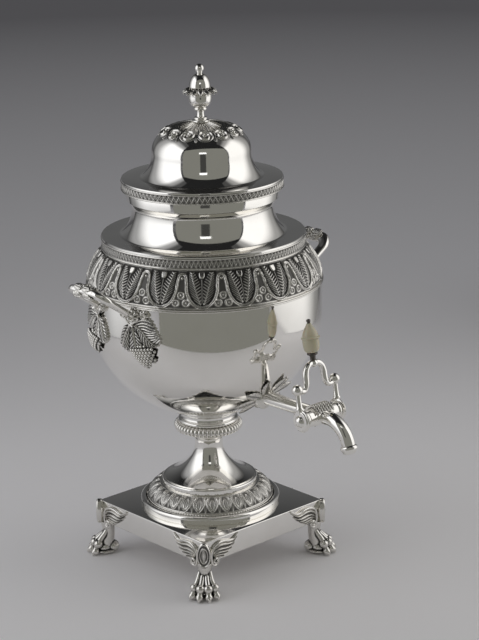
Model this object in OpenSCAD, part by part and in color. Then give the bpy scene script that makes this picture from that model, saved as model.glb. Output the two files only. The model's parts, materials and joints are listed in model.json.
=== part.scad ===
// Tea urn: a lidded round vessel on a square plinth with paw feet, two bow handles
// and a tap turned by a stirrup key. Millimetres, +Z up, origin on the axis at the table.
// The tap points along -Y and the handles along +X and -X.

/* [Plinth and feet] */
// Height of the paw feet, from the table to the plinth
foot_h = 27; // [24:0.5:32]
// Side of the square plinth
plinth_side = 126.6; // [120:0.2:140]
// Height of the plinth
plinth_h = 18; // [16:0.5:24]
// Sheet thickness of the plinth
plinth_wall = 1.6; // [1:0.1:3]
// Radius of a leg where it meets the plinth
leg_r = 5; // [4:0.1:6.5]
// Distance from a leg's axis to its claw tips
paw_len = 17.5; // [15:0.5:21]
// Width of a paw over its outer toes
paw_w = 23; // [19:0.5:27]
// Thickness of the corner wings
wing_t = 1.5; // [1:0.1:2.5]
// Length of a corner wing from the plinth's edge
wing_len = 33; // [26:0.5:40]

/* [Foot and stem] */
// Radius of the plain ring on the plinth
base_ring_r = 56; // [52:0.5:60]
// Height of the plain ring
base_ring_h = 7.5; // [5:0.5:10]
// Largest radius of the leaf band
leaf_band_r = 49.5; // [46:0.5:51]
// Height of the leaf band
leaf_band_h = 10.5; // [8:0.5:14]
// Radius of the upper foot ring
foot_ring_r = 38; // [35:0.5:41]
// Height of the upper foot ring
foot_ring_h = 4.5; // [3:0.5:7]
// Height of the stem
stem_h = 44.5; // [38:0.5:54]
// Smallest radius of the stem
stem_r = 10; // [8:0.5:13]
// Outer radius of the gadrooned collar
gadroon_r = 27; // [24:0.5:31]
// Height of the gadrooned collar
gadroon_h = 6.5; // [5:0.5:9]
// Number of gadroons
gadroon_n = 48; // [36:1:60]
// Height of the plain necking above the gadroons
necking_h = 10.2; // [7:0.2:14]

/* [Bowl] */
// Outer radius of the bowl
bowl_r = 91.5; // [84:0.5:96]
// Depth of the bowl's round bottom, from its widest place to its pole
bowl_depth = 84; // [76:0.5:92]
// Fullness of the round bottom, where 2 is a true ellipse
bowl_fullness = 1.9; // [1.75:0.05:2.2]
// Height of the bowl's straight wall above the round bottom
bowl_straight_h = 26.5; // [25:0.5:32]
// Radius of the bowl's seat on the stem
bowl_seat_r = 23; // [20:0.5:25]
// Sheet thickness of the bowl, frieze, neck and lid
sheet = 1.4; // [1:0.1:2]

/* [Frieze, shoulder and neck] */
// How far the frieze's foot stands out beyond the bowl
frieze_proud = 1.1; // [0.4:0.1:4]
// Height of the frieze
frieze_h = 27; // [22:0.5:32]
// Height of the wire moulding under the frieze
wire_h = 2.4; // [1.6:0.1:3]
// How far the shoulder band lies inside the bowl's radius
shoulder_inset = 11.8; // [8:0.1:15]
// Height of the shoulder band
shoulder_h = 8.8; // [6:0.2:12]
// Radial thickness of the shoulder band
shoulder_t = 3.6; // [2.5:0.1:5]
// Height of the neck from the shoulder to the mouth
neck_h = 36.2; // [30:0.2:44]
// Smallest radius of the neck
neck_r = 54.9; // [51:0.1:57]
// Radius of the neck's collar
neck_collar_r = 59; // [58:0.1:61]
// Height of the neck's collar
neck_collar_h = 7.5; // [5:0.5:10]

/* [Lid] */
// Radius of the lid's rim band
lid_r = 62.9; // [61.5:0.1:66]
// Height of the lid's rim band
lid_band_h = 7.5; // [5:0.5:10]
// Depth that the lid's bezel reaches into the neck
bezel_depth = 7; // [4:0.5:9]
// Radial clearance of the bezel in the neck
bezel_gap = 0.5; // [0.3:0.1:1]
// Gap under the lid's rim band
lid_gap = 0.3; // [0.2:0.1:0.6]
// Largest radius of the dome
dome_r = 39.2; // [36:0.1:43]
// Height of the dome above the flange
dome_h = 41.2; // [36:0.2:48]
// Radius of the flare where the dome meets the flange
dome_flare_r = 11; // [8:0.5:13]
// Number of leaves in the calyx
calyx_n = 12; // [8:1:16]
// Radius of the calyx over its leaf tips
calyx_r = 32.5; // [27:0.5:34]

/* [Finial] */
// Radius of the finial's foot
finial_foot_r = 6.6; // [5:0.1:8]
// Height of the finial's foot and stem
finial_foot_h = 12.2; // [10:0.2:16]
// Radius of the finial's cup
cup_r = 9.1; // [7.5:0.1:10.5]
// Height of the finial's cup
cup_h = 10; // [8:0.2:13]
// Radius of the leaf collar over its tips
finial_collar_r = 13.5; // [11.5:0.1:16]
// Height of the leaf collar
finial_collar_h = 4.6; // [3:0.2:6]
// Radius of the acorn
acorn_r = 8.3; // [7:0.1:9.5]
// Height of the acorn up to its ball
acorn_h = 11.8; // [10:0.2:16]
// Radius of the ball on the acorn
ball_r = 3.55; // [2.8:0.05:4.4]
// Radius of the stud that holds the finial
stud_r = 1.5; // [1.2:0.1:2]

/* [Handles] */
// Half the distance between a handle's two terminals
handle_half_w = 20; // [17:0.5:23]
// Height of the terminals below the bowl's rim
handle_drop = 8.5; // [8:0.5:12]
// Reach of the handle's bow from its terminals, along its slope
handle_reach = 33; // [30:0.5:38]
// Slope of the handle's bow above the horizontal, in degrees
handle_slope = 39; // [34:1:44]
// Radius of the handle's bar
handle_bar_r = 3.4; // [2.6:0.1:4]
// Radius of the bow's bends
handle_bend_r = 7; // [5:0.5:9]
// Radius of a terminal rosette
rosette_r = 5.4; // [4.6:0.1:5.5]
// Width of one lobe of a vine leaf
vine_lobe_w = 13; // [10:0.5:15]
// Length of a vine leaf along its middle lobe
vine_leaf_h = 28; // [24:0.5:31]
// Thickness of a vine leaf
vine_leaf_t = 2; // [1.2:0.1:3]
// Radius of a grape
grape_r = 1.35; // [1.2:0.05:1.5]

/* [Tap] */
// Height of the tap's axis above the table
tap_z = 148.8; // [142:0.2:156]
// Distance from the urn's axis to the barrel's axis
barrel_y = 126.6; // [118:0.2:136]
// Length of the barrel between its end faces
barrel_len = 35; // [31:0.5:40]
// Outer radius of the barrel
barrel_r = 7; // [6.4:0.1:8]
// Radius of the plug in the barrel
plug_r = 4.6; // [4:0.1:5]
// Running clearance of the plug
plug_gap = 0.05; // [0.02:0.01:0.08]
// Outer radius of the pipe and spout
pipe_r = 5; // [4.4:0.1:5.6]
// Radius of the waterway
water_r = 2.6; // [2:0.1:3]
// Radius of the spout's bend
spout_bend_r = 21.5; // [20:0.5:28]
// Angle of the spout's bend, in degrees
spout_angle = 74; // [60:1:80]
// Length of the straight end of the spout
spout_end = 5; // [2:0.5:6]
// Radius of the spout's lip
lip_r = 6.7; // [6:0.1:8]
// Radius of the leaf escutcheon
escutcheon_r = 23; // [18:0.5:25]

/* [Key] */
// Lean of the shut key towards the bowl, in degrees
key_lean = 9; // [4:1:12]
// Radius of the key's end caps
cap_r = 8.6; // [7.8:0.1:9.6]
// Thickness of an end cap's disc
cap_t = 3.2; // [2.6:0.2:4]
// Distance from the barrel's axis to the key's balls
ball_up = 23.5; // [20:0.5:27]
// Radius of the key's balls
key_ball_r = 3.5; // [3:0.1:4]
// Radius of the key's rods
rod_r = 1.9; // [1.5:0.1:2.3]
// Distance from the barrel's axis to the knuckle under the knob
knuckle_up = 40; // [37:0.5:45]
// Radius of the yoke's arms
arm_r = 2; // [1.6:0.1:2.4]
// Height of the ivory knob
knob_h = 22; // [18:0.5:27]
// Radius of the ivory knob at its ledge
knob_r = 7.2; // [6:0.1:8.5]

/* [Heater] */
// Outer radius of the heater sleeve
sleeve_r = 21; // [17:0.5:24]
// Height of the heater sleeve
sleeve_h = 92; // [70:1:100]
// Radial clearance of the iron in its sleeve
iron_gap = 2; // [1:0.5:4]
// Height of the heater iron
iron_h = 70; // [50:1:72]

/* [Hidden] */
$fn = 72;
// Steps on a curved profile
curve_n = 18;
// Gap left between seated pieces
seat_gap = 0.05;
// Gap between the key and the fixed tap
key_gap = 0.3;
// Length by which a cut runs past a face
past = 1;

// Heights, stacked from the table
plinth_top = foot_h + plinth_h;
base_ring_top = plinth_top + base_ring_h;
leaf_band_top = base_ring_top + leaf_band_h;
foot_ring_top = leaf_band_top + foot_ring_h;
stem_top = leaf_band_top + stem_h;
gadroon_top = stem_top + gadroon_h;
necking_top = gadroon_top + necking_h;
bowl_seat_angle = acos(pow(bowl_seat_r / bowl_r, bowl_fullness / 2));
bowl_wide_z = necking_top + bowl_depth * pow(sin(bowl_seat_angle), 2 / bowl_fullness);
bowl_top = bowl_wide_z + bowl_straight_h;
frieze_r = bowl_r + frieze_proud;
shoulder_r = bowl_r - shoulder_inset;
frieze_top = bowl_top + frieze_h;
shoulder_top = frieze_top + shoulder_h;
neck_top = shoulder_top + neck_h;
lid_z = neck_top + lid_gap;
flange_z = lid_z + lid_band_h;
flange_top = flange_z + sheet;
dome_top = flange_top + dome_h;
finial_foot_top = dome_top + finial_foot_h;
cup_top = finial_foot_top + cup_h;
finial_collar_top = cup_top + finial_collar_h;
acorn_top = finial_collar_top + acorn_h;

silver = [0.80, 0.79, 0.77];
shaded_silver = [0.62, 0.61, 0.58];
ivory = [0.85, 0.81, 0.69];
dark_metal = [0.20, 0.18, 0.17];
black_iron = [0.16, 0.15, 0.15];

// Curves and sections

function unit(v) = v / norm(v);
function heading(p, i) = unit(p[min(i + 1, len(p) - 1)] - p[max(i - 1, 0)]);
// A curve moved by w to the left of its direction
function beside(p, w) = [for (i = [0:len(p) - 1]) let (t = heading(p, i)) p[i] + w * [-t.y, t.x]];
function backwards(p) = [for (i = [len(p) - 1:-1:0]) p[i]];
function arc(c, r, a0, a1, n) =
    [for (i = [0:n]) let (a = a0 + (a1 - a0) * i / n) c + r * [cos(a), sin(a)]];
// A cubic curve through two ends with two handles
function cubic(a, b, c, d, n) =
    [for (i = [0:n]) let (t = i / n, u = 1 - t)
        u * u * u * a + 3 * u * u * t * b + 3 * u * t * t * c + t * t * t * d];

module turned(profile) {
    rotate_extrude() polygon(profile);
}

// Straight bar between two points
module bar(a, b, ra, rb) {
    d = b - a;
    translate(a)
        rotate([0, acos(d.z / norm(d)), atan2(d.y, d.x)])
        cylinder(h = norm(d), r1 = ra, r2 = rb);
}

// Plinth and feet

half_side = plinth_side / 2;
leg_at = half_side * sqrt(2) - leg_r * 1.1;
toe_fan = [-37, -13, 13, 37];
toe_r = 2.8;
claw_r = 2.2;
ankle_z = foot_h * 0.5;
knuckle_z = foot_h * 0.37;
toe_reach = paw_len - claw_r;

module plinth() {
    color(silver)
        difference() {
            translate([-half_side, -half_side, foot_h]) cube([plinth_side, plinth_side, plinth_h]);
            translate([plinth_wall - half_side, plinth_wall - half_side, foot_h - past])
                cube([plinth_side - 2 * plinth_wall, plinth_side - 2 * plinth_wall,
                      plinth_h - plinth_wall + past]);
        }
}

// Width of the unstretched fan of toes, as a multiple of their reach
fan_w = 1.37;

// One toe: a ridge down the instep, a knuckle, and a claw on the table
module toe(angle) {
    spread = paw_w / (fan_w * toe_reach);
    knuckle = [toe_reach * 0.78 * cos(angle), toe_reach * 0.78 * spread * sin(angle), knuckle_z];
    claw = [toe_reach * cos(angle), toe_reach * spread * sin(angle), claw_r * 0.8];
    bar([leg_r * 0.35 * cos(angle), leg_r * 0.35 * sin(angle), ankle_z + toe_r], knuckle,
        toe_r, toe_r * 0.85);
    translate(knuckle) sphere(r = toe_r);
    bar(knuckle, claw, toe_r * 0.9, claw_r * 0.9);
    translate(claw) sphere(r = claw_r);
}

module paw() {
    heel_r = leg_r * 1.05;
    color(shaded_silver)
        intersection() {
            union() {
                translate([0, 0, ankle_z * 0.5])
                    cylinder(h = foot_h - ankle_z * 0.5, r1 = leg_r * 1.12, r2 = leg_r);
                translate([leg_r * 0.55, 0, 0]) cylinder(h = ankle_z * 1.3, r1 = leg_r * 1.9, r2 = leg_r);
                translate([-leg_r * 0.35, 0, heel_r * 0.8]) sphere(r = heel_r);
                for (angle = toe_fan) toe(angle);
            }
            translate([-2 * paw_len, -2 * paw_len, 0]) cube([4 * paw_len, 4 * paw_len, foot_h]);
        }
}

module corner(turn) {
    rotate([0, 0, turn]) children();
}

module foot_front_left() { corner(225) translate([leg_at, 0, 0]) paw(); }
module foot_front_right() { corner(315) translate([leg_at, 0, 0]) paw(); }
module foot_back_left() { corner(135) translate([leg_at, 0, 0]) paw(); }
module foot_back_right() { corner(45) translate([leg_at, 0, 0]) paw(); }

// Corner wings: x runs along a face from the plinth's edge, y up from its lower edge
volute_r = 4.2;
volute_c = [7, 0.4];
wing_crest_y = plinth_h * 0.76;
wing_tip = [wing_len, plinth_h * 0.97];
wing_outline = concat(
    cubic([volute_c.x - volute_r, volute_c.y], [3, 8], [5, wing_crest_y], [10, wing_crest_y], 8),
    cubic([10, wing_crest_y], [17, wing_crest_y + 0.2], [24, wing_crest_y - 0.8], wing_tip, 8),
    cubic(wing_tip, [wing_len - 0.8, 10], [wing_len - 6, 3], [wing_len - 12, 2.4], 8),
    cubic([wing_len - 12, 2.4], [wing_len - 16, 2.2], [13, 3], [volute_c.x + volute_r * 0.6, 2], 4));
feather_n = 4;

// One feather: a curved rib from the volute towards the wing's outer edge
module feather(k) {
    rise = (k + 0.5) / feather_n;
    a = [8, 4 + 7 * rise];
    d = [wing_len - 9 + 5.5 * rise, 4 + 10.5 * rise];
    line = cubic(a, a + [5, 2.5], d - [9, -1.5], d, 8);
    linear_extrude(wing_t + 0.7) polygon(concat(beside(line, 0.75), backwards(beside(line, -0.75))));
}

// Raised edge along the top of a wing, from the volute to the tip
wing_edge = concat(
    cubic([volute_c.x - volute_r + 0.8, volute_c.y + 1], [3.8, 8], [5.6, wing_crest_y - 0.8],
          [10, wing_crest_y - 0.8], 8),
    [for (i = [1:7]) cubic([10, wing_crest_y - 0.8], [17, wing_crest_y - 0.6], [24, wing_crest_y - 1.6],
                           wing_tip - [0.8, 1.4], 8)[i]]);

module wing() {
    linear_extrude(wing_t) polygon(wing_outline);
    linear_extrude(wing_t + 1) polygon(concat(beside(wing_edge, 0.7), backwards(beside(wing_edge, -0.7))));
    for (k = [0:feather_n - 1]) feather(k);
    translate([volute_c.x, volute_c.y, 0]) {
        cylinder(h = wing_t + 0.5, r = volute_r);
        cylinder(h = wing_t + 1.1, r = volute_r * 0.72);
        cylinder(h = wing_t + 1.6, r = volute_r * 0.34);
    }
}

oval_h = plinth_h + 3.4;
oval_w = 10;
oval_bulge = (oval_h * oval_h + oval_w * oval_w) / (4 * oval_w);
oval_depth = 3.2;

// Pointed oval, upright, drawn towards +X
module oval(shrink, depth) {
    rotate([90, 0, 90])
        linear_extrude(depth)
        intersection() {
            translate([oval_bulge - oval_w / 2 + shrink, 0]) circle(r = oval_bulge);
            translate([oval_w / 2 - oval_bulge - shrink, 0]) circle(r = oval_bulge);
        }
}

module corner_mount() {
    oval_back = 2.2;
    color(shaded_silver)
        difference() {
            union() {
                translate([half_side, half_side, foot_h]) {
                    rotate([90, 0, 180]) wing();
                    rotate([90, 0, 90]) mirror([1, 0, 0]) wing();
                }
                translate([half_side - oval_back, half_side - oval_back, plinth_top - oval_h / 2 - 0.6])
                    rotate([0, 0, 45]) {
                        difference() {
                            oval(0, oval_depth + oval_back);
                            translate([oval_depth + oval_back - 1, 0, 0]) oval(1.3, oval_depth);
                        }
                        translate([0, -0.8, -oval_h * 0.4])
                            cube([oval_depth + oval_back, 1.6, oval_h * 0.8]);
                    }
            }
            translate([-half_side, -half_side, foot_h]) cube([plinth_side, plinth_side, plinth_h]);
            rotate([0, 0, 45]) translate([leg_at, 0, 0]) cylinder(h = foot_h, r = leg_r * 1.05 + seat_gap);
        }
}

module wings_front_left() { corner(180) corner_mount(); }
module wings_front_right() { corner(270) corner_mount(); }
module wings_back_left() { corner(90) corner_mount(); }
module wings_back_right() { corner_mount(); }

// Foot and stem

stem_foot_r = foot_ring_r - 2.4;
stem_waist_z = leaf_band_top + stem_h * 0.66;
stem_head_r = gadroon_r - 5;

module base_ring() {
    bead = base_ring_h * 0.3;
    color(silver)
        turned(concat(
            [[leaf_band_r - 6, plinth_top], [base_ring_r, plinth_top]],
            arc([base_ring_r - bead, base_ring_top - bead * 1.4], bead, 0, 90, 6),
            [[leaf_band_r + 1, base_ring_top - bead * 0.9], [leaf_band_r + 1, base_ring_top],
             [leaf_band_r - 6, base_ring_top]]));
}

module foot_leaf_band() {
    outer = cubic([leaf_band_r, base_ring_top], [leaf_band_r + 0.4, base_ring_top + leaf_band_h * 0.55],
                  [foot_ring_r + 5, leaf_band_top], [foot_ring_r + 0.6, leaf_band_top], 12);
    color(shaded_silver)
        turned(concat([[leaf_band_r - 5, base_ring_top]], outer, [[stem_foot_r - 3, leaf_band_top]]));
}

module foot_ring() {
    round_r = foot_ring_h * 0.3;
    color(silver)
        turned(concat(
            [[stem_foot_r + seat_gap, leaf_band_top], [foot_ring_r, leaf_band_top]],
            arc([foot_ring_r - round_r, foot_ring_top - round_r], round_r, 0, 90, 4),
            [[stem_foot_r + seat_gap, foot_ring_top]]));
}

module stem() {
    foot_edge = 2.6;
    lower = cubic([stem_foot_r, leaf_band_top + foot_edge], [stem_r + 7, leaf_band_top + foot_edge + 2],
                  [stem_r, stem_waist_z - 14], [stem_r, stem_waist_z], curve_n);
    upper = cubic([stem_r, stem_waist_z], [stem_r, stem_waist_z + 6],
                  [stem_r + 3, stem_top - 4], [stem_head_r, stem_top], 10);
    outer = concat(lower, [for (i = [1:len(upper) - 1]) upper[i]]);
    color(silver)
        turned(concat([[0, leaf_band_top], [stem_foot_r, leaf_band_top]], outer, [[0, stem_top]]));
}

module gadroon_collar() {
    lobe_r = PI * gadroon_r / gadroon_n;
    mid = stem_top + gadroon_h / 2;
    bulge = gadroon_h / 2;
    color(shaded_silver)
        intersection() {
            turned(concat([[0, stem_top]],
                arc([gadroon_r - bulge, mid], bulge, -90, 90, 10), [[0, gadroon_top]]));
            translate([0, 0, stem_top - past])
                linear_extrude(gadroon_h + 2 * past)
                union() {
                    circle(r = gadroon_r - lobe_r * 0.9);
                    for (k = [0:gadroon_n - 1])
                        rotate(360 * k / gadroon_n)
                        translate([gadroon_r - lobe_r, 0])
                        circle(r = lobe_r * 1.02);
                }
        }
}

module necking() {
    ring = 1.3;
    foot_r = gadroon_r - 3.6;
    waist_r = bowl_seat_r - 1.2;
    color(silver)
        turned(concat(
            [[0, gadroon_top]],
            arc([foot_r - ring, gadroon_top + ring], ring, -90, 80, 7),
            cubic([waist_r, gadroon_top + 2.7 * ring], [waist_r - 0.8, gadroon_top + 4 * ring],
                  [waist_r - 0.8, necking_top - 3 * ring], [waist_r, necking_top - 2 * ring], 6),
            arc([waist_r - 0.1, necking_top - ring * 0.9], ring * 0.9, -80, 80, 6),
            [[0, necking_top]]));
}

// Vessel

tap_hole_r = pipe_r + seat_gap;

// Radius of the bowl's round bottom at a height
function bowl_at(z) =
    bowl_r * pow(1 - pow((bowl_wide_z - z) / bowl_depth, bowl_fullness), 1 / bowl_fullness);

module bowl() {
    side = concat(
        [for (i = [0:2 * curve_n]) let (a = bowl_seat_angle * (1 - i / (2 * curve_n)))
            [bowl_r * pow(cos(a), 2 / bowl_fullness),
             bowl_wide_z - bowl_depth * pow(sin(a), 2 / bowl_fullness)]],
        [[bowl_r, bowl_top]]);
    inside = backwards(beside(side, sheet));
    color(silver)
        difference() {
            turned(concat([[0, necking_top]], side, inside, [[0, inside[len(inside) - 1].y]]));
            translate([0, 0, tap_z]) rotate([90, 0, 0]) cylinder(h = bowl_r + past, r = tap_hole_r);
        }
}

module frieze_wire() {
    color(shaded_silver)
        turned(concat(
            [[bowl_r + seat_gap, bowl_top]],
            backwards(arc([frieze_r - wire_h * 0.4, bowl_top - wire_h / 2], wire_h / 2, -90, 90, 8)),
            [[bowl_r + seat_gap, bowl_top - wire_h]]));
}

frieze_top_r = shoulder_r - 0.6;

module frieze_band() {
    curve = [for (i = [0:curve_n]) let (t = i / curve_n)
        [frieze_r - (frieze_r - frieze_top_r) * t * t, bowl_top + frieze_h * t]];
    lining = [for (p = backwards(beside(curve, sheet))) [p.x, min(max(p.y, bowl_top + sheet), frieze_top)]];
    color(shaded_silver)
        turned(concat([[bowl_r - sheet, bowl_top]], curve, [[frieze_top_r - sheet, frieze_top]],
            [for (i = [1:len(lining) - 1]) lining[i]], [[bowl_r - sheet, bowl_top + sheet]]));
}

module shoulder_band() {
    wire = shoulder_h * 0.13;
    color(shaded_silver)
        turned(concat(
            [[shoulder_r - shoulder_t, frieze_top]],
            arc([shoulder_r - wire, frieze_top + wire], wire, -90, 90, 5),
            [[shoulder_r - wire, frieze_top + 2 * wire], [shoulder_r - wire, shoulder_top - 2 * wire]],
            arc([shoulder_r - wire, shoulder_top - wire], wire, -90, 90, 5),
            [[shoulder_r - shoulder_t, shoulder_top]]));
}

neck_waist_z = shoulder_top + neck_h * 0.6;
collar_z = neck_top - neck_collar_h;
collar_bore_r = neck_collar_r - sheet - 0.8;

module neck() {
    flange_r = shoulder_r - 0.5;
    flange_edge = shoulder_top + sheet;
    flare_w = (flange_r - neck_r) * 0.74;
    flare = [for (i = [0:curve_n]) let (a = 90 * i / curve_n)
        [neck_r + flare_w * (1 - sin(a)), neck_waist_z - (neck_waist_z - flange_edge) * cos(a)]];
    throat = [for (i = [1:8]) let (t = i / 8)
        [neck_r + (neck_collar_r - 0.7 - neck_r) * t * t, neck_waist_z + (collar_z - neck_waist_z) * t]];
    outer = concat(flare, throat);
    inner = backwards(beside(outer, sheet));
    lining = [for (p = inner) if (p.y > shoulder_top && p.y < collar_z) p];
    color(silver)
        turned(concat(
            [[flange_r - 5, shoulder_top], [flange_r, shoulder_top], [flange_r, flange_edge]], outer,
            [[neck_collar_r, collar_z], [neck_collar_r, neck_top], [collar_bore_r, neck_top],
             [collar_bore_r, collar_z]],
            lining));
}

// Lid

bezel_r = collar_bore_r - bezel_gap;
dome_wide_z = flange_top + dome_flare_r + 0.2;
dome_fullness = 2.3;

function dome_curve(r, top) =
    [for (i = [0:curve_n]) let (a = 90 * i / curve_n)
        [r * pow(cos(a), 2 / dome_fullness),
         dome_wide_z + (top - dome_wide_z) * pow(sin(a), 2 / dome_fullness)]];

module lid_dome() {
    flange_r = lid_r - 0.5;
    flare = arc([dome_r + dome_flare_r, flange_top + dome_flare_r], dome_flare_r, 270, 180, 8);
    lining_flare = arc([dome_r - sheet + dome_flare_r, flange_z + dome_flare_r], dome_flare_r, 180, 270, 8);
    color(silver)
        difference() {
            turned(concat([[flange_r, flange_z], [flange_r, flange_top]], flare, dome_curve(dome_r, dome_top),
                backwards(dome_curve(dome_r - sheet, dome_top - sheet)), lining_flare));
            translate([0, 0, dome_top - 2 * sheet]) cylinder(h = 3 * sheet, r = stud_r + seat_gap);
        }
}

module lid_rim_band() {
    wire = lid_band_h * 0.14;
    color(shaded_silver)
        turned(concat(
            [[bezel_r + seat_gap, lid_z]],
            arc([lid_r - wire, lid_z + wire], wire, -90, 90, 5),
            [[lid_r - wire, lid_z + 2 * wire], [lid_r - wire, flange_z - 2 * wire]],
            arc([lid_r - wire, flange_z - wire], wire, -90, 90, 5),
            [[bezel_r + seat_gap, flange_z]]));
}

module lid_bezel() {
    color(silver)
        difference() {
            translate([0, 0, lid_z - bezel_depth]) cylinder(h = flange_z - lid_z + bezel_depth, r = bezel_r);
            translate([0, 0, lid_z - bezel_depth - past])
                cylinder(h = flange_z - lid_z + bezel_depth + 2 * past, r = bezel_r - sheet);
        }
}

// Ring of round leaf tips, seen from above
module leaf_ring(r, n, inner_r) {
    tip_r = PI * r / (n + PI);
    difference() {
        union() {
            circle(r = r - tip_r);
            for (k = [0:n - 1]) rotate(360 * k / n) translate([r - tip_r, 0]) circle(r = tip_r * 1.04);
        }
        circle(r = inner_r);
    }
}

module lid_calyx() {
    leaf_t = 1.5;
    under = dome_curve(dome_r + seat_gap, dome_top + seat_gap);
    over = dome_curve(dome_r + leaf_t, dome_top + leaf_t);
    color(shaded_silver)
        intersection() {
            turned(concat(under, backwards(over)));
            translate([0, 0, dome_wide_z])
                linear_extrude(dome_top - dome_wide_z + 2 * leaf_t)
                leaf_ring(calyx_r, calyx_n, finial_foot_r + seat_gap);
        }
}

// Finial

module drilled(z, h) {
    difference() {
        children();
        translate([0, 0, z - past]) cylinder(h = h + 2 * past, r = stud_r + seat_gap);
    }
}

module finial_foot() {
    z = dome_top + seat_gap;
    top = finial_foot_top;
    neck_r = stud_r + 1.3;
    knop_r = finial_foot_r * 0.76;
    color(silver)
        drilled(z, finial_foot_h)
        turned(concat(
            [[0, z]],
            arc([finial_foot_r - 1.3, z + 1.3], 1.3, -90, 90, 6),
            arc([finial_foot_r - 2.4, z + 3.6], 1, -90, 90, 5),
            cubic([neck_r + 1, z + 4.6], [neck_r, z + 5.6], [neck_r, top - 4], [neck_r + 0.4, top - 2.6], 6),
            arc([knop_r - 1.2, top - 1.3], 1.3, -90, 90, 6),
            [[0, top]]));
}

module finial_cup() {
    z = finial_foot_top;
    color(silver)
        drilled(z, cup_h)
        turned(concat(
            [[0, z], [cup_r * 0.5, z]],
            cubic([cup_r * 0.5, z], [cup_r * 0.9, z + 1.2],
                  [cup_r, z + cup_h * 0.45], [cup_r, cup_top - 1.6], 8),
            [[cup_r, cup_top], [0, cup_top]]));
}

module finial_collar() {
    tip_drop = finial_collar_h * 0.25;
    color(shaded_silver)
        drilled(cup_top, finial_collar_h)
        intersection() {
            turned([[0, cup_top], [cup_r, cup_top], [finial_collar_r, cup_top + tip_drop],
                    [finial_collar_r, cup_top + tip_drop + 1.2],
                    [acorn_r, finial_collar_top], [0, finial_collar_top]]);
            translate([0, 0, cup_top - past])
                linear_extrude(finial_collar_h + 2 * past)
                leaf_ring(finial_collar_r, 12, 0.01);
        }
}

module finial_acorn() {
    z = finial_collar_top;
    socket = acorn_h * 0.4;
    color(silver)
        difference() {
            union() {
                turned(concat(
                    [[0, z], [acorn_r, z]],
                    cubic([acorn_r, z], [acorn_r * 0.95, z + acorn_h * 0.5],
                          [ball_r + 1.6, acorn_top - 1.6], [ball_r * 0.72, acorn_top - 0.6], 10),
                    [[ball_r * 0.6, acorn_top], [ball_r * 0.6, acorn_top + 1], [0, acorn_top + 1]]));
                translate([0, 0, acorn_top + ball_r * 0.86]) sphere(r = ball_r);
            }
            translate([0, 0, z - past]) cylinder(h = socket + past, r = stud_r + seat_gap);
        }
}

nut_h = 3.5;
nut_z = dome_top - sheet - 0.4 - nut_h;

module finial_stud() {
    color(dark_metal)
        translate([0, 0, nut_z - 1.5])
        cylinder(h = finial_collar_top + acorn_h * 0.36 - nut_z + 1.5, r = stud_r);
}

module finial_nut() {
    color(dark_metal)
        difference() {
            translate([0, 0, nut_z]) cylinder(h = nut_h, r = stud_r * 2.4, $fn = 6);
            translate([0, 0, nut_z - past]) cylinder(h = nut_h + 2 * past, r = stud_r + seat_gap);
        }
}

// Handles: each is drawn for the +X side

terminal_z = bowl_top - handle_drop;
terminal_angle = asin(handle_half_w / bowl_r);
rosette_t = 3;
bow_x = (bowl_r + rosette_t) * cos(terminal_angle);
bow_half = handle_half_w;
grip_half = bow_half - handle_bend_r;

// A frame on the bowl's side, x outwards
module on_bowl(along, z) {
    rotate([0, 0, asin(along / bowl_r)]) translate([bowl_r, 0, z]) children();
}

// The bow lies in a plane that slopes up and outwards; u runs along the slope
module bow_plane() {
    translate([bow_x, 0, terminal_z]) rotate([0, -handle_slope, 0]) children();
}

module bow() {
    arm_len = handle_reach - handle_bend_r;
    foot_r = handle_bar_r * 1.25;
    run_in = foot_r * 1.2;
    color(silver)
        difference() {
            bow_plane() {
                for (side = [-1, 1]) {
                    bar([-run_in, side * bow_half, 0], [arm_len, side * bow_half, 0], foot_r, handle_bar_r);
                    translate([arm_len, side * grip_half, 0])
                        rotate([0, 0, side > 0 ? 0 : -90])
                        rotate_extrude(angle = 90) translate([handle_bend_r, 0]) circle(r = handle_bar_r);
                }
                bar([handle_reach, -grip_half, 0], [handle_reach, grip_half, 0], handle_bar_r, handle_bar_r);
            }
            for (side = [-1, 1])
                on_bowl(side * bow_half, terminal_z)
                    translate([rosette_t + seat_gap - 4 * foot_r, -2 * foot_r, -4 * foot_r])
                    cube([4 * foot_r, 4 * foot_r, 8 * foot_r]);
        }
}

module grip_wrap() {
    bore = handle_bar_r + seat_gap;
    half = grip_half * 0.94;
    wave = 0.4;
    rings = 5;
    color(shaded_silver)
        bow_plane()
        translate([handle_reach, 0, 0])
        rotate([90, 0, 0])
        turned(concat([[bore, -half]],
            [for (i = [0:8 * rings]) let (t = i / (8 * rings))
                [bore + 0.8 + 0.8 * sin(180 * t) + wave * sin(360 * rings * t - 90), -half + 2 * half * t]],
            [[bore, half]]));
}

// Rosettes: a round seat for each arm, with small flowers about it
flower_r = rosette_r * 0.61;
flower_h = 2.6;
flower_petals = 6;
petal_r = flower_r * 0.3;
rim_beads = 9;
bead_r = rosette_t * 0.44;
// Places of the flowers from a terminal: outwards along the bowl, and up
flower_at = [[-10.6, -0.6], [10.6, 0.6]];

module boss(r, h) {
    translate([seat_gap, 0, 0]) rotate([0, 90, 0]) cylinder(h = h - seat_gap, r = r);
}

module flower() {
    boss(flower_r, flower_h);
    translate([flower_h, 0, 0]) sphere(r = petal_r);
    for (k = [0:flower_petals - 1])
        rotate([360 * k / flower_petals, 0, 0])
            translate([flower_h, flower_r - 1.2 * petal_r, 0]) sphere(r = petal_r);
}

module rosettes() {
    color(shaded_silver)
        for (side = [-1, 1]) {
            on_bowl(side * bow_half, terminal_z) {
                boss(rosette_r, rosette_t);
                for (k = [0:rim_beads - 1])
                    rotate([360 * k / rim_beads, 0, 0])
                    translate([rosette_t / 2, rosette_r, 0])
                    sphere(r = bead_r);
            }
            for (at = flower_at) on_bowl(side * (bow_half + at.x), terminal_z + at.y) flower();
        }
}

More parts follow.
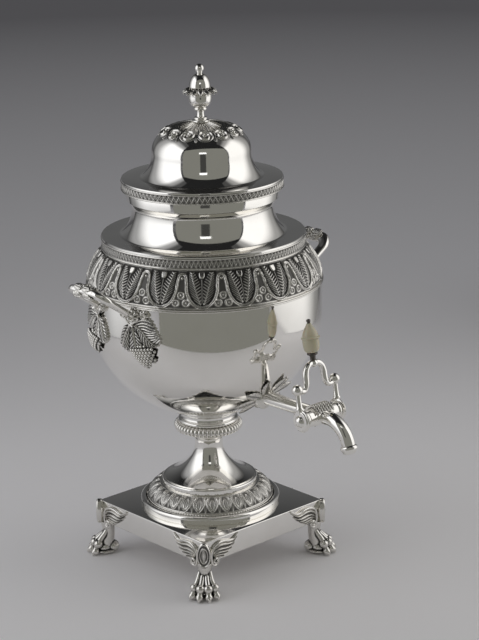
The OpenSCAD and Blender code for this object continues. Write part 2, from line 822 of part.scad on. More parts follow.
// Vine leaf: lobes with teeth, fanned about the stalk, drawn in a plane against the bowl
leaf_turn = 5.5;
stalk = [-8, -rosette_r * 1.4];
// Angle of each lobe from straight down, outwards, and its length as a share of the middle lobe
lobe_angle = [-36, 0, 32, 70, 112];
lobe_share = [0.76, 0.88, 1, 1.08, 0.62];
vein_r = 0.7;
vein_from = 3.6;
teeth = 6;

module lobe_outline(len_k) {
    half_w = vine_lobe_w / 2;
    edge = [for (i = [1:teeth]) let (t = i / (teeth + 1))
        [len_k * t, half_w * sin(180 * pow(t, 0.8)) + (i % 2) * 0.9]];
    polygon(concat([[0, -1.2]], [for (q = edge) [q.x, -q.y]], [[len_k, 0]], backwards(edge), [[0, 1.2]]));
}

// The plane against the bowl: x outwards from the stalk's side, y up
module leaf_plane(side) {
    rotate([0, 0, side * (terminal_angle + leaf_turn)])
        translate([bowl_r + seat_gap, 0, terminal_z])
        mirror([0, side > 0 ? 0 : 1, 0])
        rotate([90, 0, 90])
        children();
}

module vine_leaf() {
    translate([stalk.x, stalk.y, 0]) {
        linear_extrude(vine_leaf_t)
            for (k = [0:len(lobe_angle) - 1])
                rotate(lobe_angle[k] - 90) lobe_outline(lobe_share[k] * vine_leaf_h);
        for (k = [0:len(lobe_angle) - 1])
            rotate([0, 0, lobe_angle[k] - 90])
                bar([vein_from, 0, vine_leaf_t], [lobe_share[k] * vine_leaf_h * 0.85, 0, vine_leaf_t],
                    vein_r, vein_r * 0.5);
    }
}

module vine_leaves() {
    color(shaded_silver)
        for (side = [-1, 1])
            difference() {
                leaf_plane(side) vine_leaf();
                on_bowl(side * bow_half, terminal_z)
                    rotate([0, 90, 0])
                    cylinder(h = 6 * rosette_t, r = rosette_r + bead_r + 2 * seat_gap, center = true);
                for (at = flower_at)
                    on_bowl(side * (bow_half + at.x), terminal_z + at.y)
                        rotate([0, 90, 0])
                        cylinder(h = 6 * rosette_t, r = flower_r + 2 * seat_gap, center = true);
            }
}

// Grape bunch: rows of berries on a tapering core in front of the leaf
grape_rows = [7, 6, 5, 4, 3, 2];
grape_pitch = 2.1 * grape_r;
grape_core_t = 2.2;
bunch_at = [3, stalk.y - vine_leaf_h * 0.66];
bunch_tilt = 10;

module bunch() {
    row_h = grape_pitch * 0.9;
    top_half = grape_rows[0] * grape_pitch / 2;
    translate([bunch_at.x, bunch_at.y, vine_leaf_t + vein_r + seat_gap])
        rotate([0, 0, bunch_tilt]) {
            linear_extrude(grape_core_t)
                polygon([[-top_half, grape_r * 1.1], [top_half, grape_r * 1.1], [top_half, -row_h * 0.5],
                         [grape_pitch, -row_h * 5.6], [-grape_pitch, -row_h * 5.6],
                         [-top_half, -row_h * 0.5]]);
            for (row = [0:len(grape_rows) - 1])
                for (k = [0:grape_rows[row] - 1])
                    translate([(k - (grape_rows[row] - 1) / 2) * grape_pitch, -row * row_h,
                               grape_core_t + grape_r * 0.3])
                        sphere(r = grape_r);
        }
}

module grapes() {
    color(shaded_silver) for (side = [-1, 1]) leaf_plane(side) bunch();
}

module handle_right() { bow(); }
module handle_left() { rotate([0, 0, 180]) bow(); }
module grip_wrap_right() { grip_wrap(); }
module grip_wrap_left() { rotate([0, 0, 180]) grip_wrap(); }
module rosettes_right() { rosettes(); }
module rosettes_left() { rotate([0, 0, 180]) rosettes(); }
module vine_leaves_right() { vine_leaves(); }
module vine_leaves_left() { rotate([0, 0, 180]) vine_leaves(); }
module grapes_right() { grapes(); }
module grapes_left() { rotate([0, 0, 180]) grapes(); }

// Tap: the pipe runs along -Y at the tap's height, the barrel along X

root_r = bowl_at(tap_z);
// Tilt of the bowl's surface at the tap, from the normal of its curve
root_tilt = atan2(pow((bowl_wide_z - tap_z) / bowl_depth, bowl_fullness - 1) / bowl_depth,
                  pow(root_r / bowl_r, bowl_fullness - 1) / bowl_r);
barrel_bore_r = plug_r + plug_gap;
spout_start = barrel_r + 2;

module along_y(y0, y1, r) {
    translate([0, -y0, tap_z]) rotate([90, 0, 0]) cylinder(h = y1 - y0, r = r);
}

module across(len, r) {
    translate([-len / 2, -barrel_y, tap_z]) rotate([0, 90, 0]) cylinder(h = len, r = r);
}

module tap_escutcheon() {
    petals = 8;
    petal_t = 1.5;
    petal_half_w = escutcheon_r * 0.2;
    color(shaded_silver)
        difference() {
            translate([0, -root_r, tap_z])
                rotate([90 + root_tilt, 0, 0])
                translate([0, 0, seat_gap]) {
                    linear_extrude(petal_t)
                        for (k = [0:petals - 1])
                            rotate(360 * (k + 0.5) / petals)
                            polygon(concat(
                                [for (i = [0:8]) let (t = i / 8)
                                    [escutcheon_r * (0.2 + 0.8 * t), -petal_half_w * sin(180 * pow(t, 0.7))]],
                                [for (i = [7:-1:1]) let (t = i / 8)
                                    [escutcheon_r * (0.2 + 0.8 * t),
                                     petal_half_w * sin(180 * pow(t, 0.7))]]));
                    cylinder(h = petal_t + 1.4, r = pipe_r * 1.9);
                }
            along_y(0, barrel_y, tap_hole_r);
        }
}

module tap_pipe() {
    inner_end = bowl_at(tap_z - pipe_r) - sheet * 3;
    color(silver)
        difference() {
            along_y(inner_end, barrel_y, pipe_r);
            along_y(inner_end - past, barrel_y, water_r);
            across(barrel_len, barrel_r + seat_gap);
        }
}

module tap_barrel() {
    collar_t = 2.4;
    color(silver)
        difference() {
            union() {
                across(barrel_len, barrel_r * 0.94);
                for (side = [-1, 1])
                    translate([side * (barrel_len - collar_t) / 2, 0, 0]) across(collar_t, barrel_r);
                across(barrel_len * 0.4, barrel_r);
            }
            across(barrel_len + 2 * past, barrel_bore_r);
            along_y(barrel_y - 2 * barrel_r, barrel_y + 2 * barrel_r, water_r);
        }
}

// Ribbed shell laid over the top of the barrel
module barrel_shell() {
    ribs = 7;
    span = barrel_len * 0.56;
    rib_r = span / ribs / 2;
    shell_r = barrel_r + seat_gap;
    half_angle = 40;
    color(shaded_silver)
        translate([0, -barrel_y, tap_z])
        rotate([0, 0, 90])
        rotate([90, 0, 0])
        rotate([0, 0, 90 - half_angle])
        rotate_extrude(angle = 2 * half_angle)
        polygon(concat([[shell_r, -span / 2]],
            [for (k = [0:ribs - 1])
                each arc([shell_r + 0.8, -span / 2 + (2 * k + 1) * rib_r], rib_r, -88, 88, 5)],
            [[shell_r, span / 2]]));
}

spout_y = barrel_y + spout_start;
spout_tip = [spout_y + spout_bend_r * sin(spout_angle), tap_z - spout_bend_r * (1 - cos(spout_angle))];

// The spout's end, with z along the falling stream
module at_spout_tip() {
    translate([0, -spout_tip.x, spout_tip.y]) rotate([90 + spout_angle, 0, 0]) children();
}

// Cross-section of the pipe, a ring
module pipe_ring() {
    difference() {
        circle(r = pipe_r);
        circle(r = water_r);
    }
}

module tap_spout() {
    color(silver) {
        difference() {
            translate([0, -barrel_y, tap_z]) rotate([90, 0, 0]) linear_extrude(spout_start) pipe_ring();
            across(barrel_len, barrel_r + seat_gap);
        }
        translate([0, -spout_y, tap_z - spout_bend_r])
            rotate([0, -90, 0])
            rotate([0, 0, -spout_angle])
            rotate_extrude(angle = spout_angle)
            translate([spout_bend_r, 0])
            pipe_ring();
        at_spout_tip() linear_extrude(spout_end) pipe_ring();
    }
}

module spout_lip() {
    lip_h = 3.4;
    roll = lip_h * 0.32;
    color(silver)
        at_spout_tip()
        translate([0, 0, spout_end - lip_h + 1.2])
        turned(concat(
            [[pipe_r + seat_gap, 0], [pipe_r + 0.5, 0]],
            cubic([pipe_r + 0.5, 0], [pipe_r + 0.6, 0.8], [lip_r - 0.6, 0.8], [lip_r - 0.3, 1.2], 4),
            arc([lip_r - roll, lip_h - roll], roll, 0, 90, 4),
            [[pipe_r + seat_gap, lip_h]]));
}

// Key: drawn upright over the barrel's axis, then leant towards the bowl

module key_frame() {
    translate([0, -barrel_y, tap_z]) rotate([-key_lean, 0, 0]) children();
}

cap_x = barrel_len / 2 + key_gap;
rod_x = cap_x + cap_t / 2;
yoke_x = rod_x + 0.6;

module tap_plug() {
    color(silver)
        difference() {
            across(2 * (cap_x + cap_t * 0.7), plug_r);
            translate([0, -barrel_y, tap_z - 2 * plug_r]) cylinder(h = 4 * plug_r, r = water_r);
        }
}

module cap(side) {
    boss_r = cap_r * 0.62;
    color(silver)
        difference() {
            translate([0, -barrel_y, tap_z])
                rotate([0, side * 90, 0]) {
                    translate([0, 0, cap_x])
                        turned(concat(
                            [[0, 0], [cap_r - 0.5, 0]],
                            arc([cap_r - 0.7, 0.7], 0.7, -60, 90, 4),
                            arc([cap_r - 0.9, cap_t - 0.8], 0.8, -60, 90, 4),
                            [[0, cap_t]]));
                    translate([0, 0, cap_x + cap_t - boss_r * 0.25])
                        intersection() {
                            sphere(r = boss_r);
                            cylinder(h = 2 * boss_r, r = 2 * boss_r);
                        }
                }
            across(2 * (cap_x + cap_t * 0.7), plug_r + seat_gap);
            key_frame() translate([side * rod_x, 0, cap_r * 0.6]) cylinder(h = ball_up, r = rod_r + seat_gap);
        }
}

module rod(side) {
    foot_z = cap_r * 0.62;
    color(silver)
        key_frame() {
            translate([side * rod_x, 0, foot_z]) cylinder(h = cap_r + 1 - foot_z, r = rod_r);
            translate([side * rod_x, 0, cap_r + 1])
                cylinder(h = ball_up - key_ball_r * 0.8 - cap_r - 1, r1 = rod_r, r2 = rod_r * 0.74);
        }
}

module key_cap_left() { cap(-1); }
module key_cap_right() { cap(1); }
module key_rod_left() { rod(-1); }
module key_rod_right() { rod(1); }

arm_bend_r = 4.6;
arm_x = rod_x - 10;
shoulder_bend_r = 5.4;

// One arm of the yoke: out of the ball, up a bend, up a rod, and over to the knuckle
module arm(side) {
    low = ball_up - 0.8;
    rise_top = knuckle_up - shoulder_bend_r;
    inner_x = max(arm_x - shoulder_bend_r, 0.1);
    scale_x = side > 0 ? 0 : 1;
    mirror([scale_x, 0, 0]) {
        bar([rod_x, 0, low], [arm_x + arm_bend_r, 0, low], arm_r * 0.9, arm_r);
        translate([arm_x + arm_bend_r, 0, low + arm_bend_r])
            rotate([90, 0, 0])
            rotate([0, 0, 180])
            rotate_extrude(angle = 90) translate([arm_bend_r, 0]) circle(r = arm_r);
        bar([arm_x, 0, low + arm_bend_r], [arm_x, 0, rise_top], arm_r, arm_r);
        translate([inner_x, 0, rise_top])
            rotate([90, 0, 0])
            rotate_extrude(angle = 90) translate([arm_x - inner_x, 0]) circle(r = arm_r);
        bar([inner_x, 0, knuckle_up], [0, 0, knuckle_up], arm_r, arm_r);
    }
}

knuckle_r = 3.1;

module key_yoke() {
    color(silver)
        key_frame()
        difference() {
            union() {
                for (side = [-1, 1]) {
                    translate([side * rod_x, 0, ball_up]) sphere(r = key_ball_r);
                    arm(side);
                }
                translate([0, 0, knuckle_up]) sphere(r = knuckle_r);
            }
            for (side = [-1, 1])
                translate([side * rod_x, 0, 0])
                    cylinder(h = ball_up - key_ball_r * 0.8 + seat_gap, r = rod_r * 0.9);
            translate([0, 0, knuckle_up + knuckle_r * 0.72]) cylinder(h = 2 * knuckle_r, r = 2 * knuckle_r);
        }
}

knob_stud_z = knuckle_up + knuckle_r * 0.72;
knob_stud_h = 6;
knob_z = knob_stud_z + knob_stud_h;

module knob_stud() {
    color(dark_metal)
        key_frame()
        translate([0, 0, knob_stud_z])
        turned(concat(
            [[0, 0], [2.4, 0]],
            cubic([2.4, 0], [2, 1.5], [2, 3], [2.6, 4], 4),
            arc([3.1, knob_stud_h - 1], 1, -90, 90, 4),
            [[0, knob_stud_h]]));
}

module key_knob() {
    cup = knob_h * 0.48;
    ledge_h = 1.5;
    color(ivory)
        key_frame()
        translate([0, 0, knob_z])
        turned(concat(
            [[0, 0]],
            cubic([knob_r * 0.5, 0], [knob_r * 0.88, 0.6],
                  [knob_r * 0.9, cup * 0.5], [knob_r * 0.88, cup], 8),
            arc([knob_r - ledge_h / 2, cup + ledge_h / 2], ledge_h / 2, -90, 90, 5),
            cubic([knob_r * 0.84, cup + ledge_h], [knob_r * 0.8, cup + knob_h * 0.26],
                  [knob_r * 0.34, knob_h * 0.9], [knob_r * 0.22, knob_h], 10),
            [[0, knob_h]]));
}

module knob_tip() {
    color(dark_metal)
        key_frame()
        translate([0, 0, knob_z + knob_h])
        turned(concat([[0, 0], [1.1, 0]], arc([0.4, 1.9], 1.3, -50, 72, 6), [[0, 3.2]]));
}

// Heater, standing in the middle of the bowl

sleeve_z = necking_top + sheet + seat_gap;

module heater_sleeve() {
    color(dark_metal)
        difference() {
            translate([0, 0, sleeve_z]) cylinder(h = sleeve_h, r = sleeve_r);
            translate([0, 0, sleeve_z + sheet]) cylinder(h = sleeve_h, r = sleeve_r - sheet);
        }
}

module heater_iron() {
    eye_r = 4;
    body_h = iron_h - 2 * eye_r;
    color(black_iron)
        translate([0, 0, sleeve_z + sheet + seat_gap]) {
            cylinder(h = body_h, r = sleeve_r - sheet - iron_gap);
            translate([0, 0, body_h + eye_r])
                rotate([90, 0, 0])
                rotate_extrude() translate([eye_r, 0]) circle(r = 1.4);
        }
}

module heater_cover() {
    z = sleeve_z + sleeve_h + seat_gap;
    grip_r = sleeve_r * 0.19;
    cover_h = sleeve_r * 0.52;
    lip = sleeve_r * 0.29;
    color(dark_metal)
        turned([[0, z], [sleeve_r, z], [sleeve_r, z + cover_h * 0.18], [sleeve_r * 0.5, z + cover_h * 0.45],
                [grip_r, z + cover_h * 0.55], [grip_r, z + cover_h], [0, z + cover_h]]);
    color(dark_metal)
        translate([0, 0, z - lip])
        cylinder(h = lip, r = sleeve_r - sheet - iron_gap);
}

plinth();
foot_front_left();
foot_front_right();
foot_back_left();
foot_back_right();
wings_front_left();
wings_front_right();
wings_back_left();
wings_back_right();
base_ring();
foot_leaf_band();
foot_ring();
stem();
gadroon_collar();
necking();
bowl();
frieze_wire();
frieze_band();
shoulder_band();
neck();
lid_dome();
lid_rim_band();
lid_bezel();
lid_calyx();
finial_foot();
finial_cup();
finial_collar();
finial_acorn();
finial_stud();
finial_nut();
handle_left();
handle_right();
grip_wrap_left();
grip_wrap_right();
rosettes_left();
rosettes_right();
vine_leaves_left();
vine_leaves_right();
grapes_left();
grapes_right();
tap_escutcheon();
tap_pipe();
tap_barrel();
barrel_shell();
tap_spout();
spout_lip();
tap_plug();
key_cap_left();
key_cap_right();
key_rod_left();
key_rod_right();
key_yoke();
knob_stud();
key_knob();
knob_tip();
heater_sleeve();
heater_iron();
heater_cover();
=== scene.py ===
"""Tea urn: the shown pieces, their finishes and the studio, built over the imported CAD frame."""
import json
import math

import bpy
import numpy as np
from mathutils import Matrix, Vector


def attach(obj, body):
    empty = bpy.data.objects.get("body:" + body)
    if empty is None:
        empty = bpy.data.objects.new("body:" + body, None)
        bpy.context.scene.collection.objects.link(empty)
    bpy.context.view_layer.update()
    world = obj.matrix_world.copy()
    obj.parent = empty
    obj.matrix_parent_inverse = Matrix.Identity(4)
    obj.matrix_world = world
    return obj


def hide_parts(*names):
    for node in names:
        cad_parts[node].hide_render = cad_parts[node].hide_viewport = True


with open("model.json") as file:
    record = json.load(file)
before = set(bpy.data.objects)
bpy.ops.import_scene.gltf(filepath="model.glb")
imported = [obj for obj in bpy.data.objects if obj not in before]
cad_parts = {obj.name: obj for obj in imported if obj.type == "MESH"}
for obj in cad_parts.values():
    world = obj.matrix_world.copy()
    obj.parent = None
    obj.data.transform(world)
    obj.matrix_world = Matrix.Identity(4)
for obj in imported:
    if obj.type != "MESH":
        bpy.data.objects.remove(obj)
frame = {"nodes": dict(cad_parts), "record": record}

bl_info = {
    "name": "Tea urn",
    "version": (1, 0, 0),
    "blender": (4, 5, 0),
    "location": "View3D > Sidebar > Tea urn",
    "description": "Builds the shown pieces of a silver tea urn over its CAD frame",
    "category": "Object",
}

MM = 0.001
TAU = 2 * math.pi
WELD = 0.002
CHUNK = 20000


def length(name, description, mm):
    """A length property whose default is given in millimetres."""
    return bpy.props.FloatProperty(name=name, description=description, default=mm * MM, min=0.0,
                                   unit="LENGTH", subtype="DISTANCE", precision=5)


def count(name, description, number):
    """A whole-number property."""
    return bpy.props.IntProperty(name=name, description=description, default=number, min=1)


class UrnVessel(bpy.types.PropertyGroup):
    """Sizes of the bowl, the bands above it and the neck."""
    bowl_r: length("Bowl radius", "Outside radius of the bowl at its widest", 91.5)
    bowl_depth: length("Bowl depth", "Depth of the round bottom below the widest height", 84.0)
    bowl_low: length("Bowl seat", "Height of the bowl's seat on the necking", 124.3)
    bowl_wide_z: length("Widest height", "Height at which the bowl's side becomes upright", 204.94)
    bowl_top: length("Bowl top", "Height of the bowl's upper edge", 231.44)
    frieze_r: length("Frieze radius", "Radius of the frieze at its foot", 92.6)
    frieze_top: length("Frieze top", "Height of the frieze's upper edge", 258.44)
    shoulder_r: length("Shoulder radius", "Radius of the band above the frieze", 79.7)
    shoulder_top: length("Shoulder top", "Height of the shoulder band's upper edge", 267.24)
    neck_r: length("Neck radius", "Radius of the neck at its waist", 54.9)
    neck_top: length("Neck top", "Height of the neck's collar", 303.44)
    sheet: length("Sheet", "Thickness of the raised sheet", 1.4)


class UrnLid(bpy.types.PropertyGroup):
    """Sizes of the lid and its finial."""
    lid_z: length("Lid foot", "Height of the lid's lower edge", 303.74)
    lid_r: length("Lid radius", "Radius of the lid's rim band", 62.9)
    flange_z: length("Flange height", "Height of the rim band's top", 311.24)
    dome_r: length("Dome radius", "Radius of the dome", 38.5)
    dome_wide_z: length("Dome widest", "Height at which the dome starts to close", 330.64)
    dome_top: length("Dome top", "Height of the dome", 353.84)
    finial_top: length("Finial top", "Height of the finial's ball", 399.04)


class UrnFoot(bpy.types.PropertyGroup):
    """Sizes of the plinth, the feet and the stem."""
    foot_h: length("Foot height", "Height of the paw feet under the plinth", 27.0)
    plinth_half: length("Half plinth", "Half the side of the square plinth", 63.3)
    plinth_top: length("Plinth top", "Height of the plinth's top", 45.0)
    leg_at: length("Leg place", "Distance of a leg's axis from each of the plinth's middle planes", 59.41)
    base_r: length("Base ring", "Radius of the ring on the plinth", 56.0)
    leaf_r: length("Leaf band", "Radius of the leaf band at its foot", 49.5)
    ring_r: length("Foot ring", "Radius of the ring over the leaf band", 38.0)
    stem_r: length("Stem radius", "Radius of the stem at its waist", 10.0)
    gadroon_r: length("Gadroon radius", "Radius of the gadrooned collar", 27.0)


class UrnTap(bpy.types.PropertyGroup):
    """Sizes of the tap and its key."""
    tap_z: length("Tap height", "Height of the tap's pipe", 148.8)
    barrel_y: length("Barrel place", "Distance of the barrel from the urn's axis", 126.6)
    barrel_r: length("Barrel radius", "Radius of the barrel", 7.0)
    pipe_r: length("Pipe radius", "Radius of the pipe and spout", 5.0)
    knob_h: length("Knob height", "Height of the ivory knob", 22.0)
    knob_r: length("Knob radius", "Radius of the ivory knob at its ledge", 7.2)


class UrnOrnament(bpy.types.PropertyGroup):
    """Repeats of the ornament."""
    frieze_n: count("Frieze repeats", "Tongues round the frieze", 18)
    shoulder_n: count("Shoulder repeats", "Zigzags round the shoulder band", 150)
    lid_n: count("Lid repeats", "Zigzags round the lid band", 100)
    leaf_n: count("Leaf repeats", "Leaves round the foot", 28)
    gadroon_n: count("Gadroons", "Lobes round the collar under the bowl", 48)
    calyx_n: count("Calyx leaves", "Leaves under the finial", 13)


class UrnStage(bpy.types.PropertyGroup):
    """The studio."""
    box_light: bpy.props.FloatProperty(name="Softbox", description="Brightness of the softboxes", default=1.24)
    card_light: bpy.props.FloatProperty(name="Card", description="Brightness of the grey card", default=0.2)
    lens: bpy.props.FloatProperty(name="Lens", description="Focal length in millimetres", default=109.07)


# Working helpers: every piece is shaped in millimetres and turned to metres when it is settled

def lone():
    """No object is selected."""
    bpy.ops.object.select_all(action="DESELECT")


def only(o):
    """This object alone is selected and active."""
    lone()
    o.select_set(True)
    bpy.context.view_layer.objects.active = o
    return o


def named(name):
    """Names the object just added."""
    o = bpy.context.object
    o.name = name
    o.data.name = name
    return o


def get_co(o):
    """Vertex places as an array."""
    co = np.empty(len(o.data.vertices) * 3)
    o.data.vertices.foreach_get("co", co)
    return co.reshape(-1, 3)


def set_co(o, co):
    """Moves the vertices to these places."""
    o.data.vertices.foreach_set("co", np.ascontiguousarray(co, dtype=np.float64).ravel())
    o.data.update()


def on_mesh(o, *steps):
    """Runs edit-mode operators, each with its values, on the object's whole mesh."""
    only(o)
    bpy.ops.object.mode_set(mode="EDIT")
    for step, values in steps:
        bpy.ops.mesh.select_all(action="SELECT")
        step(**values)
    bpy.ops.object.mode_set(mode="OBJECT")
    return o


def face_out(o):
    """Turns all faces outwards."""
    return on_mesh(o, (bpy.ops.mesh.normals_make_consistent, {"inside": False}))


def weld(o):
    """Joins the points that fall together, and turns all faces outwards."""
    return face_out(on_mesh(o, (bpy.ops.mesh.remove_doubles, {"threshold": WELD})))


def ridge(d, w):
    """A rounded ridge at distance 0, of half-width w."""
    return np.exp(-(d / w) ** 2)


def run_along(points):
    """How far each point lies along the line through them all."""
    return np.concatenate([[0], np.cumsum(np.hypot(*np.diff(np.asarray(points, dtype=float), axis=0).T))])


def beside(x, y, line):
    """How far each place lies from a line of points, and how far along the line."""
    far, run, way = np.full(len(x), 99.0), np.zeros(len(x)), 0.0
    for p, q in zip(line[:-1], line[1:]):
        e = q - p
        size = math.hypot(*e)
        t = np.clip(((x - p[0]) * e[0] + (y - p[1]) * e[1]) / size ** 2, 0, 1)
        d = np.hypot(x - p[0] - e[0] * t, y - p[1] - e[1] * t)
        run = np.where(d < far, way + t * size, run)
        far = np.minimum(far, d)
        way += size
    return far, run


def pick_faces(o, wanted):
    """Enters edit mode with only the wanted faces selected."""
    only(o)
    bpy.ops.object.mode_set(mode="EDIT")
    bpy.ops.mesh.select_mode(type="FACE")
    bpy.ops.mesh.select_all(action="DESELECT")
    bpy.ops.object.mode_set(mode="OBJECT")
    for f in o.data.polygons:
        f.select = wanted(f)
    bpy.ops.object.mode_set(mode="EDIT")


def arc(cr, cz, r, a0, a1, n=6):
    """Points on an arc about (cr, cz), angles in degrees."""
    return [(cr + r * math.cos(math.radians(a0 + (a1 - a0) * i / n)),
             cz + r * math.sin(math.radians(a0 + (a1 - a0) * i / n))) for i in range(n + 1)]


def bell(r, top, foot, lean, small, n=24):
    """A flare from its flat foot up to an upright top: a tight bend, then a long one that starts at this lean."""
    k = math.radians(lean)
    big = (top - foot - small * (1 - math.sin(k))) / math.sin(k)
    long = [(r + big * (1 - math.cos(k * i / n)), top - big * math.sin(k * i / n)) for i in range(n + 1)]
    cr, cz = long[-1][0] + small * math.cos(k), long[-1][1] + small * math.sin(k)
    tight = [k + (math.pi / 2 - k) * i / 12 for i in range(1, 13)]
    return ([*long, *((cr - small * math.cos(t), cz - small * math.sin(t)) for t in tight)])[::-1]


def cubic(a, b, c, d, n=12):
    """Points on a cubic curve."""
    out = []
    for i in range(n + 1):
        t = i / n
        u = 1 - t
        out.append(tuple(u ** 3 * a[k] + 3 * u * u * t * b[k] + 3 * u * t * t * c[k] + t ** 3 * d[k]
                         for k in range(len(a))))
    return out


def smooth_path(points, n=8):
    """A curve through all the points."""
    p = [np.array(q, dtype=float) for q in points]
    p = [2 * p[0] - p[1]] + p + [2 * p[-1] - p[-2]]
    out = []
    for i in range(1, len(p) - 2):
        for k in range(n):
            t = k / n
            out.append(0.5 * (2 * p[i] + (p[i + 1] - p[i - 1]) * t
                              + (2 * p[i - 1] - 5 * p[i] + 4 * p[i + 1] - p[i + 2]) * t * t
                              + (3 * p[i] - p[i - 1] - 3 * p[i + 1] + p[i + 2]) * t ** 3))
    out.append(p[-2])
    return out


def rounded(points, r=0.5, n=4):
    """The outline with its corners rounded off."""
    out = [points[0]]
    for a, b, c in zip(points, points[1:], points[2:]):
        va, vc = Vector(a) - Vector(b), Vector(c) - Vector(b)
        if va.length < 1e-6 or vc.length < 1e-6:
            continue
        turn = va.angle(vc)
        if turn > math.radians(165):
            out.append(b)
            continue
        cut = min(r / max(math.tan(turn / 2), 1e-3), va.length * 0.45, vc.length * 0.45)
        s, e = Vector(b) + va.normalized() * cut, Vector(b) + vc.normalized() * cut
        for i in range(n + 1):
            t = i / n
            q = s * (1 - t) ** 2 + Vector(b) * 2 * t * (1 - t) + e * t * t
            out.append((q.x, q.y))
    out.append(points[-1])
    return out


def lathe(name, profile, steps):
    """A wall turned about the upright axis from (radius, height) points."""
    lone()
    bpy.ops.mesh.primitive_plane_add(size=1)
    o = named(name)
    bpy.ops.object.mode_set(mode="EDIT")
    bpy.ops.mesh.select_all(action="SELECT")
    bpy.ops.mesh.merge(type="CENTER")
    bpy.ops.transform.translate(value=(profile[0][0], 0, profile[0][1]))
    for a, b in zip(profile, profile[1:]):
        bpy.ops.mesh.extrude_region_move(TRANSFORM_OT_translate={"value": (b[0] - a[0], 0, b[1] - a[1])})
    bpy.ops.mesh.select_all(action="SELECT")
    bpy.ops.mesh.spin(steps=steps, angle=TAU, center=(0, 0, 0), axis=(0, 0, 1))
    bpy.ops.object.mode_set(mode="OBJECT")
    return weld(o)


def ring_sheet(name, profile, steps):
    """A wall of many steps round the upright axis, rolled up from a grid."""
    o, u, v = grid(name, steps, len(profile) - 1)
    p = np.array(profile, dtype=float)
    k = np.rint(v * (len(p) - 1)).astype(int)
    a = u * TAU
    set_co(o, np.stack([p[k, 0] * np.cos(a), p[k, 0] * np.sin(a), p[k, 1]], axis=1))
    return weld(o)


def beaded_wire(name, r, z, thick, steps, deep, lobes, twist=0.0, foot=0.0):
    """A wire round the axis, notched into beads, or into a rope by a twist counted from its foot."""
    o = ring_sheet(name, arc(r, z, thick, -180, 180, 10), steps)
    co = get_co(o)
    out = np.hypot(co[:, 0], co[:, 1])
    wave = np.cos(np.arctan2(co[:, 1], co[:, 0]) * lobes + (co[:, 2] - foot) * twist)
    co[:, :2] *= (1 + deep * wave * (out > r) / out)[:, None]
    set_co(o, co)
    return o


def tarnish(o, values):
    """Notes how dark each vertex has gone, from 0 to 1."""
    layer = o.data.attributes.get("patina") or o.data.attributes.new("patina", "FLOAT", "POINT")
    layer.data.foreach_set("value", np.clip(values, 0, 1).astype(np.float32))


def emboss(o, profile, first, last, height, dark=None):
    """Raises the turned wall between two points of its profile by height(angle, run) millimetres.

    With dark = (low, high), what lies at low is dark and what lies at high is clean.
    """
    p = np.array(profile, dtype=float)
    run = run_along(p)
    run -= run[first]
    tangent = np.gradient(p, axis=0)
    tangent /= np.maximum(np.hypot(*tangent.T), 1e-9)[:, None]
    co = get_co(o)
    r = np.hypot(co[:, 0], co[:, 1])
    near = np.empty(len(co), dtype=int)
    for k in range(0, len(co), CHUNK):
        part = slice(k, k + CHUNK)
        d = (r[part, None] - p[None, :, 0]) ** 2 + (co[part, 2, None] - p[None, :, 1]) ** 2
        near[part] = d.argmin(axis=1)
    on = (near >= first) & (near <= last) & (r > 1e-4)
    angle = np.arctan2(co[:, 1], co[:, 0])
    h = np.zeros(len(co))
    h[on] = height(angle[on], run[near[on]])
    out = tangent[near, 1] * h
    co += np.stack([np.cos(angle) * out, np.sin(angle) * out, -tangent[near, 0] * h], axis=1)
    set_co(o, co)
    if dark:
        tarnish(o, np.where(on, (dark[1] - h) / (dark[1] - dark[0]), 0.0))


def grid(name, nu, nv):
    """A flat grid and its vertices' places along it and across it, from 0 to 1."""
    lone()
    bpy.ops.mesh.primitive_grid_add(x_subdivisions=nu, y_subdivisions=nv, size=2)
    o = named(name)
    co = get_co(o)
    return o, (co[:, 0] + 1) / 2, (co[:, 1] + 1) / 2


def thicken(o, thickness, offset=-1.0):
    """Gives an open sheet its thickness."""
    only(o)
    m = o.modifiers.new("wall", "SOLIDIFY")
    m.thickness = thickness
    m.offset = offset
    bpy.ops.object.modifier_apply(modifier=m.name)
    return o


def tube(name, points, radii, fine=5):
    """A round bar along the points; the radii are spread evenly over it."""
    lone()
    bpy.ops.curve.primitive_bezier_curve_add()
    o = named(name)
    c = o.data
    c.splines.clear()
    s = c.splines.new("POLY")
    s.points.add(len(points) - 1)
    grow = np.interp(np.linspace(0, 1, len(points)), np.linspace(0, 1, len(radii)), radii)
    for q, p, r in zip(s.points, points, grow):
        q.co = (p[0], p[1], p[2], 1)
        q.radius = r
    c.dimensions = "3D"
    c.bevel_depth = 1.0
    c.bevel_resolution = fine
    c.use_fill_caps = True
    bpy.ops.object.convert(target="MESH")
    return named(name)


def ball(name, at, r, scale=(1, 1, 1), fine=3):
    """A round lump, stretched along the axes."""
    lone()
    bpy.ops.mesh.primitive_ico_sphere_add(subdivisions=fine, radius=1)
    return on_mesh(named(name), (bpy.ops.transform.resize, {"value": tuple(r * k for k in scale)}),
                   (bpy.ops.transform.translate, {"value": at}))


def join(name, parts):
    """One object of several."""
    lone()
    for o in parts:
        o.select_set(True)
    bpy.context.view_layer.objects.active = parts[0]
    if len(parts) > 1:
        bpy.ops.object.join()
    return named(name)


def copy(o, name, matrix):
    """A copy with its own mesh, moved by a matrix."""
    only(o)
    bpy.ops.object.duplicate(linked=False)
    return place(named(name), matrix)


def place(o, matrix):
    """Moves the mesh by a matrix, and turns its faces out again after a mirroring."""
    o.data.transform(matrix)
    if matrix.determinant() < 0:
        o.data.flip_normals()
    o.data.update()
    return o


def turn(axis, degrees):
    """A turn about an axis."""
    return Matrix.Rotation(math.radians(degrees), 4, axis)


def shift(x, y, z):
    """A move."""
    return Matrix.Translation((x, y, z))


